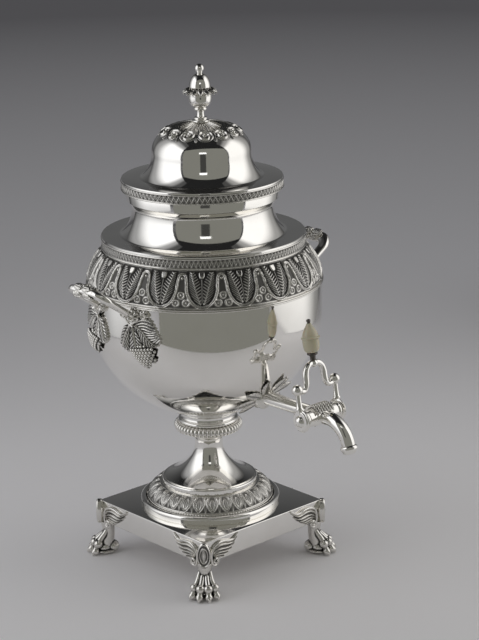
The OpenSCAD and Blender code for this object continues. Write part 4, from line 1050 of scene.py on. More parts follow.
def calyx_relief(n, outer):
    """Leaves that end in a spiral scroll each, with plain tips between them; the ground is sunk into the dome."""
    way = run_along(outer)
    long = way[-1] - 1.0
    eye = long - 6.0

    def height(angle, run):
        run = way[-1] - run
        r = np.interp(run, way, outer[:, 0])
        u = (((angle * n / TAU) % 1.0) - 0.5) * TAU * r / n
        au, half = np.abs(u), np.pi * r / n
        grow = np.clip(run / (long - 7), 0, 1)
        stem = np.clip((1.02 - 0.1 * grow) * half - au, -1, 0.5) * 2
        lobe = (1 - np.hypot(u / 6.9, (run - eye) / 6.2)) * 6
        leaf = np.clip(np.where(run < long - 8, np.maximum(stem, lobe), lobe), -1, 1)
        on_leaf = np.clip(leaf, 0, 1)
        tip_w = 2.6 * np.sqrt(np.clip(1 - ((run - long + 8) / 8.4) ** 2, 0, 1))
        tip = np.where((run > 4) & (run < long + 0.6), np.clip((tip_w - (half - au)) / 0.5, -1, 1), -1)
        h = -1.1 + 1.2 * np.clip(np.maximum(leaf, tip) + 0.6, 0, 1) + 0.6 * on_leaf
        way_round = np.where(np.floor(angle * n / TAU) % 2 > 0.5, 1, -1)
        ring = np.hypot(u, run - eye)
        spun = np.arctan2(run - eye, u * way_round) / TAU
        in_lobe = np.clip((5.9 - ring) / 0.8, 0, 1)
        h += on_leaf * in_lobe * (0.85 * np.cos(TAU * (ring / 3.0 - spun)) + 0.1)
        h += on_leaf * (1 - in_lobe) * (run < long - 5) * 0.45 * np.cos(TAU * 1.5 * u / np.maximum(half, 0.5))
        return h + 0.5 * np.clip(tip, 0, 1) * ridge(half - au, 0.7)
    return height


def build_lid(s, orn):
    """Dome, rim band, bezel and leaf calyx."""
    low, r, flange, dome = mm(s.lid_z), mm(s.lid_r), mm(s.flange_z), mm(s.dome_r)
    wide, top, n = mm(s.dome_wide_z), mm(s.dome_top), orn.calyx_n
    sheet, lean, bend = 1.4, 50, 3.0
    outline = [(r - 3.4, flange), (r - 0.5, flange), *arc(r - 1.2, flange + sheet - 0.7, 0.7, 0, 90, 4),
               *bell(dome, wide, flange + sheet, lean, bend), *dome_side(dome, wide, top, 40),
               *dome_side(dome - sheet, wide, top - sheet, 24)[::-1],
               *bell(dome - sheet, wide, flange, lean, bend + 1.2)[::-1], (r - 3.4, flange)]
    turned("dome_shown", outline, 160, "lid", "lid_dome", 45)
    bore, seat = 54.9, 56.3
    banded("lid_strip", r, low, flange, seat + 0.1, orn.lid_n, 12, "lid", "lid_rim_band")
    foot = low - 7
    outline = [(bore, foot), (seat - 0.4, foot), (seat, foot + 0.6), (seat, flange), (bore, flange), (bore, foot)]
    turned("bezel_shown", outline, 128, "lid", "lid_bezel", 40)
    outer = [q for q in dome_side(dome + 0.15, wide, top + 0.15, 150) if 6.4 < q[0] < 33.4]
    inner = [q for q in dome_side(dome - 0.7, wide, top - 0.7, 60)[::-1] if 6.4 < q[0] < 32.6]
    outline = [*outer, *inner, outer[0]]
    o = ring_sheet("calyx", outline, n * 60)
    emboss(o, outline, 0, len(outer) - 1, calyx_relief(n, np.array(outer[::-1])), (-0.3, 0.6))
    chased(o, "lid", ["lid_calyx"], (6, 1.5, 0.02))


def build_finial(s):
    """Foot, cup, leaf collar, and acorn with its ball."""
    z, end, ball_r, leaves = mm(s.dome_top), mm(s.finial_top), 3.55, 14
    top = z + 12.2
    cz = top + 10
    az = cz + 4.6
    tip = az + 11.8
    outline = [(0, z), *arc(5.3, z + 1.3, 1.3, -90, 80, 8), *arc(4.2, z + 3.6, 1.0, -70, 84, 6),
               *cubic((3.4, z + 4.7), (2.7, z + 5.6), (2.7, top - 4), (3.1, top - 2.7), 10),
               *arc(3.8, top - 1.3, 1.3, -84, 84, 8), (0, top)]
    turned("finial_foot_shown", outline, 96, "lid", "finial_foot")
    outline = [(0, top), (4.0, top), *cubic((4.4, top), (8.2, top + 1.0), (9.1, top + 4.2), (9.1, cz - 1.6), 12),
               *arc(8.6, cz - 0.7, 0.7, -40, 90, 4), (0, cz)]
    turned("finial_cup_shown", outline, 96, "lid", "finial_cup")
    parts = []
    for a in (TAU * k / leaves for k in range(leaves)):
        def at(x, y, h, a=a):
            r = 5.0 + x * 0.86
            b = a + y / np.maximum(r, 3)
            z = cz + 2.3 + 0.9 * np.sin(np.clip(x / 8.0, 0, 1) * np.pi) - 0.7 * np.clip(x / 9.6, 0, 1) ** 2 + h
            return np.stack([r * np.cos(b), r * np.sin(b), z], axis=1)
        parts.append(leaflet("collar_leaf", 9.6, 5.6, at, 18, 10, fat=1.5, point=1.1))
    core = [(0, cz - 0.2), (8.6, cz - 0.2), (9.6, cz + 1.0), (8.4, cz + 3.4), (0, az)]
    core = lathe("collar_core", rounded(core, 0.6), 84)
    o = join("finial_leaves", [thicken(join("collar_leaves", parts), 1.1), core])
    chased(o, "lid", ["finial_collar"], (3, 1.8, 0.05))
    outline = [(0, az - 0.4), (7.4, az - 0.4),
               *cubic((8.2, az + 0.2), (8.3, az + 4.6), (6.4, az + 9.2), (3.2, tip - 1.2), 14),
               *cubic((2.4, tip - 0.8), (2.0, tip - 0.4), (1.9, tip), (2.0, tip + 0.2), 3),
               *arc(0, end - ball_r, ball_r, -58, 90, 14)]
    turned("finial_acorn_shown", outline, 96, "lid", "finial_acorn")


class URN_OT_lid(bpy.types.Operator):
    """Builds the lid, its calyx and its finial."""
    bl_idname = "urn.lid"
    bl_label = "Lid and finial"

    def execute(self, context):
        build_lid(context.scene.urn_lid, context.scene.urn_ornament)
        build_finial(context.scene.urn_lid)
        return {"FINISHED"}


# Handles with their vine mounts

HANDLE_Z = 222.94
HANDLE_HALF = 18.6
HANDLE_SLOPE = math.radians(39)
HANDLE_REACH = 33.0
HANDLE_BEND = 9.5
BOW_X = 92.2


def lay_bow(o, co):
    """Lays points of the bow's own plane (out along the slope, along the grip, off the plane) into place."""
    c, s = math.cos(HANDLE_SLOPE), math.sin(HANDLE_SLOPE)
    set_co(o, np.stack([BOW_X + co[:, 0] * c - co[:, 2] * s, co[:, 1],
                        HANDLE_Z + co[:, 0] * s + co[:, 2] * c], axis=1))
    return o


def build_bow():
    """The bow as one flat bar with rounded edges, broadest at its bends."""
    arm, grip = HANDLE_REACH - HANDLE_BEND, HANDLE_HALF - HANDLE_BEND
    flat = [(u, -HANDLE_HALF) for u in (-1.5, 5, 12, 19, arm)]
    flat += [(arm + HANDLE_BEND * math.sin(a), -grip - HANDLE_BEND * math.cos(a))
             for a in np.linspace(0.22, math.pi / 2, 8)]
    path = flat + [(HANDLE_REACH, 0)] + [(u, -v) for u, v in flat[::-1]]
    sizes = [3.6, 3.8, 4.1, 4.4, 4.6, 4.7, 4.6, 4.4, 4.3, 4.4, 4.6, 4.7, 4.6, 4.4, 4.1, 3.8, 3.6]
    o = tube("bow", smooth_path([(u, v, 0) for u, v in path], 5), sizes, 9)
    co = get_co(o)
    co[:, 2] = 3.0 * np.tanh(co[:, 2] * 1.05 / 3.0) + 1.5 * np.clip(1 - co[:, 0] / 22, 0, 1)
    return lay_bow(o, co)


def build_wrap():
    """Acanthus leaves laid over the grip, with a small flower where they meet."""
    leaves = ((1.6, 0, 10.5, 10.5), (0.6, 62, 8.5, 7.5), (0.6, -62, 8.5, 7.5), (0.8, 180, 10, 9))
    parts = []
    for way in (-1, 1):
        for start, tilt, long, wide in leaves:
            def at(x, y, h, way=way, tilt=tilt, start=start):
                a = math.radians(tilt) + y / 4.6
                return np.stack([HANDLE_REACH + (4.3 + h) * np.sin(a), way * (start + x),
                                 (2.9 + 1.9 * h) * np.cos(a)], axis=1)
            leaf = leaflet("wrap_leaf", long, wide, at, 40, 22, teeth=4, curl=0.25, point=0.62)
            if way < 0:
                leaf.data.flip_normals()
            parts.append(leaf)
    eye = flower("wrap_flower", 4.0, 2.8, 6)
    wrap = thicken(join("wrap_leaves", parts), 0.7)
    o = join("wrap", [wrap, place(eye, shift(HANDLE_REACH, 0, 3.2))])
    lay_bow(o, get_co(o))
    age(o, 4, 2.6, 0.08)
    return o


def flower(name, r, high, petals):
    """A small round flower on the x-y plane: a cupped eye in a ring, and petals with pits between them."""
    n = 30
    outline = [(0.02 + r * i / n, high * (1 - 0.75 * (i / n) ** 2.4)) for i in range(n + 1)]
    outline = [(r, -1.5), *outline[::-1]]
    o = lathe(name, outline, petals * 12)

    def shape(angle, run):
        rr = np.clip(1 - run / (r * 1.12), 0, 1)
        f = np.abs(np.cos(angle * petals / 2))
        outer = np.clip((rr - 0.5) / 0.12, 0, 1)
        h = 0.34 * (f ** 0.55 - 0.75) * outer - 0.3 * ridge(f, 0.35) * ridge(rr - 0.66, 0.09)
        return r * (h + 0.2 * ridge(rr - 0.42, 0.1) - 0.42 * ridge(rr, 0.26) + 0.16 * ridge(rr, 0.1))
    emboss(o, outline, 1, n + 1, shape)
    return o


def on_bowl(s, along, z, out):
    """A frame on the bowl's side by the +X handle: local z outwards, y up."""
    r = mm(s.bowl_r)
    m = Matrix(((0, 0, 1, r + out), (1, 0, 0, 0), (0, 1, 0, z), (0, 0, 0, 1)))
    return Matrix.Rotation(along / r, 4, "Z") @ m


FLOWERS = ((21.4, 223.2, 5.0, 1.8, 8), (12.6, 223.9, 3.3, 1.1, 5), (31.0, 225.4, 3.9, 1.1, 5))
BEADS = ((20.0, 229.0, 1.1), (23.6, 229.4, 1.0), (26.4, 228.3, 1.1))
LEAF_FOOT = (19.2, 216.8)
STEMS = (((14.6, 222.2), (16.6, 219.0), LEAF_FOOT, (21.6, 215.7)),
         ((26.8, 222.6), (23.4, 219.6), LEAF_FOOT, (17.4, 214.6)))


def build_rosettes(s):
    """Three flowers at each end of the bow, a few beads over them and the stems that cross under them."""
    parts = []
    for side in (-1, 1):
        for along, z, r, out, petals in FLOWERS:
            parts.append(place(flower("bud", r, 2.6, petals), on_bowl(s, side * along, z, out)))
        for along, z, r in BEADS:
            parts.append(ball("bead", tuple(on_bowl(s, side * along, z, 1.3).translation), r))
        for ends in STEMS:
            path = [on_bowl(s, side * along, z, 2.6).translation for along, z in ends]
            parts.append(tube("stem_cross", smooth_path(path, 5), [0.75, 0.85, 0.9, 0.85], 3))
    o = join("rosettes", parts)
    age(o, 4, 2.6, 0.06)
    return o


LEAF_EDGE = ((34, 15), (22, 18), (4.5, 20.5), (-11, 23.7), (-22.6, 28.6), (-30, 28.2), (-41, 25.2), (-52, 21.5),
             (-63, 23.5), (-80, 25), (-91, 22), (-100, 23.4), (-116, 22.6), (-125, 20.4), (-135, 14.5), (-150, 9.5),
             (-168, 6.5))
LEAF_RIBS = (((0, 0), (8.9, -3.4), (13.7, -8.7), (19.4, -12.8), (24.8, -13.6)),
             ((0, 0), (2.0, -7), (3.6, -14), (4.2, -21)),
             ((0, 0), (-4.5, -6.1), (-6.6, -11.4), (-8.6, -17.6)))


def leaf_rim():
    """The leaf's toothed edge as angles in degrees and the radius at each."""
    edge = np.array(LEAF_EDGE, dtype=float)[::-1]
    angle = np.linspace(edge[0, 0], edge[-1, 0], 1200)
    rim = np.interp(angle, edge[:, 0], edge[:, 1])
    rim = np.convolve(np.pad(rim, 30, mode="edge"), np.ones(61) / 61, mode="valid")
    way = np.concatenate([[0], np.cumsum(np.hypot(np.diff(rim), rim[1:] * np.radians(np.diff(angle))))])
    tooth = np.abs((way / 3.1) % 1.0 - 0.45) * 2
    return angle, rim - 1.5 * tooth ** 1.3


def build_vine(s):
    """A broad vine leaf under each end of the bow, with toothed edges, ribs and side veins."""
    angle, rim = leaf_rim()
    parts = []
    for side in (-1, 1):
        o, u, v = grid("leaf", 56, 300)
        theta = angle[0] + v * (angle[-1] - angle[0])
        t = 0.03 + 0.97 * u ** 0.9
        r = t * np.interp(theta, angle, rim)
        x, y = r * np.cos(np.radians(theta)), r * np.sin(np.radians(theta))
        near = [beside(x, y, np.array(smooth_path(points, 8))) for points in LEAF_RIBS]
        far = np.array([n[0] for n in near])
        d, second = np.sort(far, axis=0)[:2]
        run = np.array([n[1] for n in near])[far.argmin(axis=0), np.arange(len(x))]
        vein = np.cos(TAU * (run - 0.95 * d) / 2.7)
        h = 0.95 * ridge(d, 0.5) - 0.35 * ridge(d - 1.1, 0.4) + 0.34 * vein * np.clip(d / 1.5, 0, 1)
        h -= 0.6 * ridge(second - d, 0.9) * np.clip(r / 5, 0, 1)
        swell = 1.3 * np.sin(np.pi * np.clip(t, 0, 1) ** 1.3 * 0.82) + 0.5 * np.clip(t * 1.5 - 0.8, 0, 1)
        lift = np.where(u > 0.995, -1.3, np.where(u > 0.97, 0.35 * (0.9 + swell), 0.9 + swell + h))
        z = LEAF_FOOT[1] + y
        out = bowl_at(s, z) + lift
        a = side * (LEAF_FOOT[0] + x) / mm(s.bowl_r)
        set_co(o, np.stack([out * np.cos(a), out * np.sin(a), z], axis=1))
        tarnish(o, np.where(u > 0.95, 0.2, (0.2 - h) / 0.6) * np.clip(r / 2, 0, 1))
        parts.append(o)
    o = face_out(join("vine", parts))
    co, n = get_co(o), np.empty(len(o.data.vertices) * 3)
    o.data.vertex_normals.foreach_get("vector", n)
    if (co[:, :2] * n.reshape(-1, 3)[:, :2]).sum() < 0:
        o.data.flip_normals()
    return o


BUNCH = ((17.6, 198.6), (28, 201.5), (38.9, 201.2), (38.4, 190.6), (35.0, 185.8), (30.6, 184.0), (26.0, 186.4),
         (21.4, 191.4))
BERRY_POINTS = 42


def berry_spots():
    """Places of the berries in slanting rows inside the bunch's outline, and how deep inside each lies, to 1."""
    ring = np.array(BUNCH)
    sides = list(zip(ring, np.roll(ring, -1, axis=0)))
    pitch, tilt, rows = 2.5, math.radians(9), range(-14, 15)
    steps = [pitch * np.array((math.cos(a), math.sin(a))) for a in (tilt, tilt + math.pi / 3)]
    spots = []
    for i in rows:
        for k in rows:
            q = ring.mean(axis=0) + i * steps[0] + k * steps[1]
            gap = min(((b[1] - a[1]) * (q[0] - a[0]) - (b[0] - a[0]) * (q[1] - a[1])) / math.hypot(*(b - a))
                      for a, b in sides)
            if gap > -0.25:
                spots.append((q, min(1.0, (gap + 0.3) / 6)))
    return spots


def build_grapes(s):
    """A bunch of small berries over the lower part of each leaf."""
    parts = []
    for side in (-1, 1):
        for (along, z), deep in berry_spots():
            a = side * along / mm(s.bowl_r)
            r = float(bowl_at(s, z)) + 0.5 + 4.2 * math.sqrt(1 - (1 - deep) ** 2)
            parts.append(ball("grape", (r * math.cos(a), r * math.sin(a), z), 1.38, fine=2))
    o = join("grapes", parts)
    co = get_co(o)
    far = np.hypot(co[:, 0], co[:, 1])
    mean = np.repeat(far.reshape(-1, BERRY_POINTS).mean(axis=1), BERRY_POINTS)
    tarnish(o, (mean - far + 0.65) * 1.05)
    return o


class URN_OT_handles(bpy.types.Operator):
    """Builds the two bow handles with their leaves, flowers and grapes."""
    bl_idname = "urn.handles"
    bl_label = "Handles"

    def execute(self, context):
        s = context.scene.urn_vessel
        made = (("bow", build_bow(), "polished_silver", "handle_"),
                ("wrap", build_wrap(), "chased_silver", "grip_wrap_"),
                ("rosettes", build_rosettes(s), "chased_silver", "rosettes_"),
                ("vine", build_vine(s), "chased_silver", "vine_leaves_"),
                ("grapes", build_grapes(s), "chased_silver", "grapes_"))
        for name, o, finish, node in made:
            settle(copy(o, name + "_left", turn("Z", 180)), "urn", finish, [node + "left"])
            o.name = name + "_right"
            settle(o, "urn", finish, [node + "right"])
        return {"FINISHED"}


# Tap and key

KEY_LEAN = 9.0
BARREL_HALF = 17.5
ROD_X = 19.4
LIP = ((2.7, 4.3), (3.9, 4.4), (4.9, 3.4), (5.9, 1.6), (6.5, 0.6), (6.5, -0.8), (6.0, -1.6), (4.9, -2.4),
       (2.7, -2.4), (2.7, 4.3))
YOKE = ((17.4, 22.4), (14.6, 21.3), (11.9, 21.9), (10.1, 24.6), (9.5, 28.5), (9.3, 32.5), (8.0, 36.6), (5.2, 39.4),
        (2.4, 40.2), (0, 40.2))


def build_spray(tz, root, tilt):
    """The leaf escutcheon: a spray of leaves on the bowl, round the foot of the pipe."""
    leaves = 8
    parts = []
    for k in range(leaves):
        m = np.array(shift(0, -root, tz) @ turn("X", 90 + tilt) @ turn("Z", 360 * (k + 0.5) / leaves))

        def at(x, y, h, m=m):
            out = 0.3 + h - 0.0045 * x * x + 2.0 * np.clip((x - 15) / 9, 0, 1) ** 2
            return (np.stack([x + 4.0, y, out, np.ones(len(x))], axis=1) @ m.T)[:, :3]
        parts.append(leaflet("spray", 21, 9.6, at, 40, 16, teeth=5, ribs=5, fat=1.3, point=0.95))
    collar = [(5.0, -1.5), (9.4, -1.5), (9.4, 1.6), (7.6, 2.8), (6.6, 3.6), (5.0, 4.2), (5.0, -1.5)]
    collar = place(lathe("spray_collar", rounded(collar, 0.6), 64), shift(0, -root, tz) @ turn("X", 90))
    o = join("tap_spray", [thicken(join("spray_leaves", parts), 0.8), collar])
    chased(o, "urn", ["tap_escutcheon"], (5, 2.2, 0.05))


def build_barrel(tz, by, r):
    """The barrel that lies across the pipe, and the ribbed leaf shell over it."""
    end = [(4.6, BARREL_HALF), (r - 0.5, BARREL_HALF), (r, BARREL_HALF - 0.5), (r, BARREL_HALF - 1.9),
           (r - 0.5, BARREL_HALF - 2.5), (r - 0.7, BARREL_HALF - 3.2), (r - 0.5, 8.4), (r, 7.4)]
    outline = [*((x, -z) for x, z in end), *end[::-1], (4.6, -BARREL_HALF)]
    o = place(lathe("barrel_shown", rounded(outline, 0.5), 96), shift(0, -by, tz) @ turn("Y", 90))
    settle(o, "urn", "polished_silver", ["tap_barrel"], sharp=45)
    o, u, v = grid("leaf_shell", 70, 40)
    lobed = np.abs(np.cos(u * np.pi * 6.5))
    a = np.radians((v - 0.5) * (108 + 26 * lobed)) + 0.1
    out = r + 0.5 + 1.5 * lobed ** 0.7 * (0.55 + 0.45 * np.cos((v - 0.5) * 3)) + 0.3 * np.cos(v * 60 + lobed * 4)
    out += 1.8 * np.clip(np.abs(v - 0.5) * 2 - 0.75, 0, 1)
    set_co(o, np.stack([(u - 0.5) * 17.0, -by + out * np.sin(a), tz + out * np.cos(a)], axis=1))
    chased(thicken(o, 0.6, 0), "urn", ["barrel_shell"], (4, 2.2, 0.05))


def build_spout(tz, by, barrel_r, pipe_r):
    """The spout, bent down from the barrel, and its lip."""
    bend_r, bend, end, start = 21.5, math.radians(74), 5.0, by + barrel_r + 2
    path = [(0, -by - 5.4, tz), (0, -by - barrel_r - 0.5, tz)]
    path += [(0, -start - bend_r * math.sin(a), tz - bend_r * (1 - math.cos(a))) for a in np.linspace(0, bend, 22)]
    tip = Vector(path[-1])
    way = Vector((0, -math.cos(bend), -math.sin(bend)))
    path.append(tuple(tip + way * (end - 2.6)))
    o = tube("spout_shown", path, [pipe_r + more for more in (0.6, 0.5, 0.4, 0.3, 0.2)], 9)
    settle(o, "urn", "polished_silver", ["tap_spout"], sharp=50)
    axis = Vector((0, 0, 1)).rotation_difference(way).to_matrix().to_4x4()
    lip = place(lathe("lip_shown", rounded(LIP, 0.5), 72), Matrix.Translation(tip + way * (end - 2.2)) @ axis)
    settle(lip, "urn", "polished_silver", ["spout_lip"], sharp=45)


def build_tap(s, vessel):
    """Leaf escutcheon, pipe, barrel, leaf shell, spout and lip."""
    tz, by, barrel_r, r, bore = mm(s.tap_z), mm(s.barrel_y), mm(s.barrel_r), mm(s.pipe_r), 2.6
    below, root, above = (float(bowl_at(vessel, tz + more)) for more in (-1, 0, 1))
    build_spray(tz, root, math.degrees(math.atan2(above - below, 2.0)))
    outline = [(bore, root - 8), (r + 0.9, root - 6), (r + 0.5, root + 8), (r, by - 16), (r + 0.1, by - 5.5),
               (bore, by - 5.5), (bore, root - 8)]
    o = place(lathe("pipe_shown", rounded(outline, 0.4), 64), shift(0, 0, tz) @ turn("X", 90))
    settle(o, "urn", "polished_silver", ["tap_pipe"], sharp=45)
    build_barrel(tz, by, barrel_r)
    build_spout(tz, by, barrel_r, r)


def build_key(s):
    """Caps, rods, yoke and knob; all but the caps lean back in the key's own frame."""
    middle = shift(0, -mm(s.barrel_y), mm(s.tap_z))
    lean = middle @ turn("X", -KEY_LEAN)

    def leant(o, finish, node, sharp=None):
        settle(place(o, lean), "tap_key", finish, [node], sharp)
    for side, name in ((-1, "left"), (1, "right")):
        outline = [(0, 0), (7.6, 0), (8.6, 0.5), *arc(7.9, 1.2, 0.75, -40, 90, 5), *arc(6.7, 2.2, 0.9, -10, 90, 5),
                   (5.4, 2.9), *arc(0, 1.2, 4.9, 22, 90, 10)]
        cap = lathe("key_cap_" + name + "_shown", outline, 80)
        place(cap, middle @ shift(side * (BARREL_HALF + 0.3), 0, 0) @ turn("Y", 90 * side))
        settle(cap, "tap_key", "polished_silver", ["key_cap_" + name], sharp=40)
        rod = [(side * ROD_X, 0, z) for z in (5.6, 8.8, 9.0, 9.8, 10.4, 15, 20, 21.4)]
        rod = tube("key_rod_" + name + "_shown", rod, [1.9, 2.1, 2.9, 2.9, 2.3, 2.0, 2.05, 2.2], 6)
        leant(rod, "polished_silver", "key_rod_" + name, 50)
    parts = []
    for side in (-1, 1):
        parts.append(ball("yoke_ball", (side * ROD_X, 0, 23.6), 4.2, fine=4))
        parts.append(tube("yoke_arm", smooth_path([(side * x, 0, z) for x, z in YOKE], 6),
                          [2.1, 2.1, 2.2, 2.45, 2.5, 2.45, 2.35, 2.2, 2.1], 6))
    parts.append(ball("yoke_knuckle", (0, 0, 40.0), 3.5, (1, 1, 0.9), 4))
    leant(face_out(join("yoke_shown", parts)), "polished_silver", "key_yoke")
    z = 42.2
    outline = [(0, z), (2.4, z), *cubic((2.4, z), (2, z + 1.5), (2, z + 3), (2.6, z + 4), 6),
               *arc(3.1, z + 5, 1, -84, 84, 6), (0, z + 6)]
    leant(lathe("knob_stud_shown", outline, 64), "dark_fittings", "knob_stud")
    z, h, r = z + 6, mm(s.knob_h), mm(s.knob_r)
    ledge, end = z + h * 0.48, z + h
    outline = [(0, z), *cubic((r * 0.5, z), (r * 0.88, z + 0.6), (r * 0.9, z + h * 0.24), (r * 0.88, ledge), 14),
               *arc(r - 0.75, ledge + 0.75, 0.75, -80, 84, 8),
               *cubic((r * 0.84, ledge + 1.6), (r * 0.8, ledge + h * 0.26), (r * 0.34, z + h * 0.9),
                      (r * 0.22, end), 18), (0, end)]
    leant(lathe("knob_shown", outline, 96), "ivory", "key_knob")
    outline = [(0, end), (1.1, end), *arc(0.4, end + 1.9, 1.3, -50, 80, 8), (0, end + 3.2)]
    leant(lathe("knob_tip_shown", outline, 40), "dark_fittings", "knob_tip")


class URN_OT_tap(bpy.types.Operator):
    """Builds the tap and its key."""
    bl_idname = "urn.tap"
    bl_label = "Tap and key"

    def execute(self, context):
        build_tap(context.scene.urn_tap, context.scene.urn_vessel)
        build_key(context.scene.urn_tap)
        return {"FINISHED"}


# Studio

def emitter(name, strength, color, wide=(), high=()):
    """A light-giving finish; wide and high hold (place, share) stops that shade it over the panel."""
    m = bpy.data.materials.new(name)
    m.use_nodes = True
    nodes, links = m.node_tree.nodes, m.node_tree.links
    nodes.clear()
    out = nodes.new("ShaderNodeOutputMaterial")
    glow = add(nodes, "ShaderNodeEmission", Color=(*color, 1), Strength=strength)
    if wide:
        where = nodes.new("ShaderNodeTexCoord")
        split = nodes.new("ShaderNodeSeparateXYZ")
        links.new(where.outputs["UV"], split.inputs["Vector"])
        times = nodes.new("ShaderNodeMath")
        times.operation = "MULTIPLY"
        for k, (axis, stops) in enumerate((("X", wide), ("Y", high))):
            fade = nodes.new("ShaderNodeValToRGB")
            fade.color_ramp.interpolation = "EASE"
            while len(fade.color_ramp.elements) < len(stops):
                fade.color_ramp.elements.new(0.5)
            for e, (at, share) in zip(fade.color_ramp.elements, stops):
                e.position = at
                e.color = (share, share, share, 1)
            links.new(split.outputs[axis], fade.inputs["Fac"])
            links.new(fade.outputs["Color"], times.inputs[k])
        links.new(ramp(nodes, links, times.outputs["Value"], 0, 1, 0, strength), glow.inputs["Strength"])
    links.new(glow.outputs["Emission"], out.inputs["Surface"])
    return m


CAMERA_AZ = -131.15
CAMERA_AT = (-0.9601, -1.0987, 0.6366)
CAMERA_TURN = (-41.15, 1.04, 16.81, 1.16)
RISE = ((0, 0.65), (0.05, 0.9), (0.2, 1), (0.46, 1), (0.62, 0.3), (0.8, 0.06))
RISE_LEFT = ((0, 0.4), (0.05, 0.62), (0.15, 0.9), *RISE[3:])


def panel(name, off, distance, width, low, high, material):
    """An upright panel that faces the urn, off degrees to the right of the camera, which doesn't see it."""
    lone()
    bpy.ops.mesh.primitive_plane_add(size=1)
    o = named(name)
    a = math.radians(CAMERA_AZ + off)
    face = Vector((-math.cos(a), -math.sin(a), 0))
    side = Vector((0, 0, 1)).cross(face)
    m = Matrix(((side.x, 0, face.x, 0), (side.y, 0, face.y, 0), (0, 1, 0, 0), (0, 0, 0, 1)))
    o.data.transform(Matrix.Diagonal((width, high - low, 1, 1)))
    o.data.transform(m)
    o.data.transform(shift(distance * math.cos(a), distance * math.sin(a), (high + low) / 2))
    o.data.materials.append(material)
    o.visible_camera = False


def build_floor():
    """The pale floor, its colour painted darker with its distance from the urn: a painted falloff of the studio
    light.
    """
    lone()
    bpy.ops.mesh.primitive_plane_add(size=24)
    floor = named("floor")
    m, nodes, links, p = new_material("floor")
    where = nodes.new("ShaderNodeTexCoord")
    far = nodes.new("ShaderNodeVectorMath")
    far.operation = "LENGTH"
    links.new(where.outputs["Object"], far.inputs[0])
    # painted shade: the floor's colour goes from pale near the urn to dark far off, in place of the light's falloff
    links.new(mix_color(nodes, links, ramp(nodes, links, far.outputs["Value"], 0.3, 3.2, 0, 1),
                        (0.93, 0.915, 0.93), (0.26, 0.253, 0.265)), p.inputs["Base Color"])
    p.inputs["Roughness"].default_value = 0.75
    p.inputs["Specular IOR Level"].default_value = 0.2
    floor.data.materials.append(m)


def build_panels(s):
    """The softboxes at the sides, and the card, window and column that the silver mirrors in front."""
    warm = emitter("softbox_warm", s.box_light * 0.88, (1.0, 0.99, 0.975),
                   ((0, 0.06), (0.25, 0.3), (0.55, 1), (1, 1)), RISE)
    cool = emitter("softbox_cool", s.box_light, (0.98, 0.985, 1.0),
                   ((0, 1), (0.45, 1), (0.75, 0.3), (1, 0.06)), RISE_LEFT)
    panel("softbox_right", 107, 0.62, 1.16, 0.004, 1.9, warm)
    panel("softbox_left", -94, 0.62, 1.3, 0.004, 1.9, cool)
    panel("card", 9, 0.42, 1.06, 0.004, 0.82, emitter("card", s.card_light, (1.0, 1.0, 0.9)))
    panel("window", 3, 0.41, 0.12, 0.5, 0.57, emitter("window", 1.3, (1, 1, 1)))
    panel("column", 3, 0.405, 0.09, 0.24, 0.5, emitter("column", 0.05, (1, 1, 0.95)))


def build_world(scene):
    """A dim room, brighter towards the ceiling for matt things and darker for what mirrors it."""
    scene.world = bpy.data.worlds.new("studio")
    scene.world.use_nodes = True
    nodes, links = scene.world.node_tree.nodes, scene.world.node_tree.links
    back = nodes["Background"]
    path = nodes.new("ShaderNodeLightPath")
    where = nodes.new("ShaderNodeTexCoord")
    split = nodes.new("ShaderNodeSeparateXYZ")
    links.new(where.outputs["Generated"], split.inputs["Vector"])
    pick = nodes.new("ShaderNodeMix")
    links.new(ramp(nodes, links, split.outputs["Z"], 0.0, 0.9, 0.05, 0.4), pick.inputs["A"])
    links.new(path.outputs["Is Glossy Ray"], pick.inputs["Factor"])
    links.new(ramp(nodes, links, split.outputs["Z"], 0.1, 0.7, 0.13, 0.015), pick.inputs["B"])
    back.inputs["Color"].default_value = (0.97, 0.98, 1.0, 1)
    links.new(pick.outputs["Result"], back.inputs["Strength"])


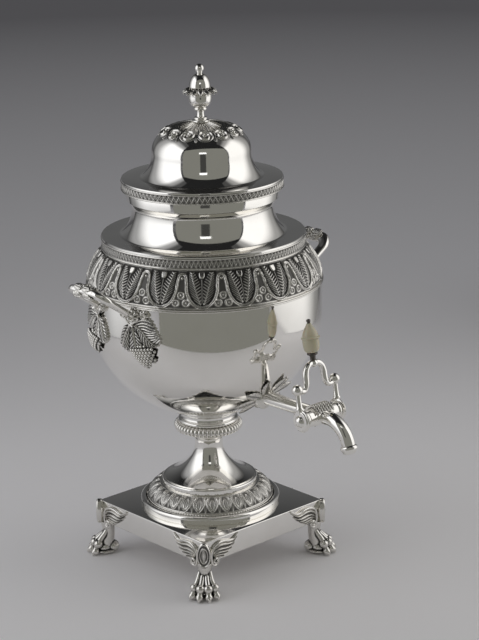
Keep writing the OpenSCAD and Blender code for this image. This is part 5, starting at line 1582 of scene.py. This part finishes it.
def build_camera(scene, lens):
    """The camera that was fitted to the photograph."""
    bpy.ops.object.camera_add()
    cam = bpy.context.object
    cam.name = "camera"
    cam.data.lens = lens
    cam.data.sensor_width = 36
    cam.data.clip_end = 50
    az, pan, pitch, roll = (math.radians(v) for v in CAMERA_TURN)
    r0 = Vector((math.cos(az), math.sin(az), 0))
    a0 = Vector((-math.sin(az), math.cos(az), 0))
    x1 = r0 * math.cos(pan) - a0 * math.sin(pan)
    y1 = r0 * math.sin(pan) + a0 * math.cos(pan)
    up = Vector((0, 0, 1))
    ahead = y1 * math.cos(pitch) - up * math.sin(pitch)
    lift = y1 * math.sin(pitch) + up * math.cos(pitch)
    right = x1 * math.cos(roll) - lift * math.sin(roll)
    top = x1 * math.sin(roll) + lift * math.cos(roll)
    m = Matrix((right, top, -ahead)).transposed().to_4x4()
    m.translation = Vector(CAMERA_AT)
    cam.matrix_world = m
    scene.camera = cam


class URN_OT_stage(bpy.types.Operator):
    """Sets the floor, the softboxes, the card, the room and the camera."""
    bl_idname = "urn.stage"
    bl_label = "Studio"

    def execute(self, context):
        s = context.scene.urn_stage
        build_floor()
        build_panels(s)
        build_world(context.scene)
        build_camera(context.scene, s.lens)
        context.scene.view_settings.view_transform = "Standard"
        return {"FINISHED"}


class URN_PT_panel(bpy.types.Panel):
    """Buttons that build the urn."""
    bl_idname = "URN_PT_panel"
    bl_label = "Tea urn"
    bl_space_type = "VIEW_3D"
    bl_region_type = "UI"
    bl_category = "Tea urn"

    def draw(self, context):
        for op in OPERATORS:
            self.layout.operator(op.bl_idname)
        for group in GROUPS:
            box = self.layout.box()
            for name in group[1].__annotations__:
                box.prop(getattr(context.scene, group[0]), name)


GROUPS = (("urn_vessel", UrnVessel), ("urn_lid", UrnLid), ("urn_foot", UrnFoot), ("urn_tap", UrnTap),
          ("urn_ornament", UrnOrnament), ("urn_stage", UrnStage))
OPERATORS = (URN_OT_finishes, URN_OT_base, URN_OT_foot, URN_OT_vessel, URN_OT_lid, URN_OT_handles, URN_OT_tap,
             URN_OT_stage)


def register():
    """Registers the classes and the scene's property groups."""
    for name, group in GROUPS:
        bpy.utils.register_class(group)
        setattr(bpy.types.Scene, name, bpy.props.PointerProperty(type=group))
    for op in OPERATORS:
        bpy.utils.register_class(op)
    bpy.utils.register_class(URN_PT_panel)


def unregister():
    """Takes them out again."""
    bpy.utils.unregister_class(URN_PT_panel)
    for op in reversed(OPERATORS):
        bpy.utils.unregister_class(op)
    for name, group in reversed(GROUPS):
        delattr(bpy.types.Scene, name)
        bpy.utils.unregister_class(group)


def main():
    """Builds the urn and its studio."""
    register()
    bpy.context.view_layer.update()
    for step in ("finishes", "base", "foot", "vessel", "lid", "handles", "tap", "stage"):
        if getattr(bpy.ops.urn, step)() != {"FINISHED"}:
            raise RuntimeError("the step did not finish: " + step)


if __name__ == "__main__":
    main()
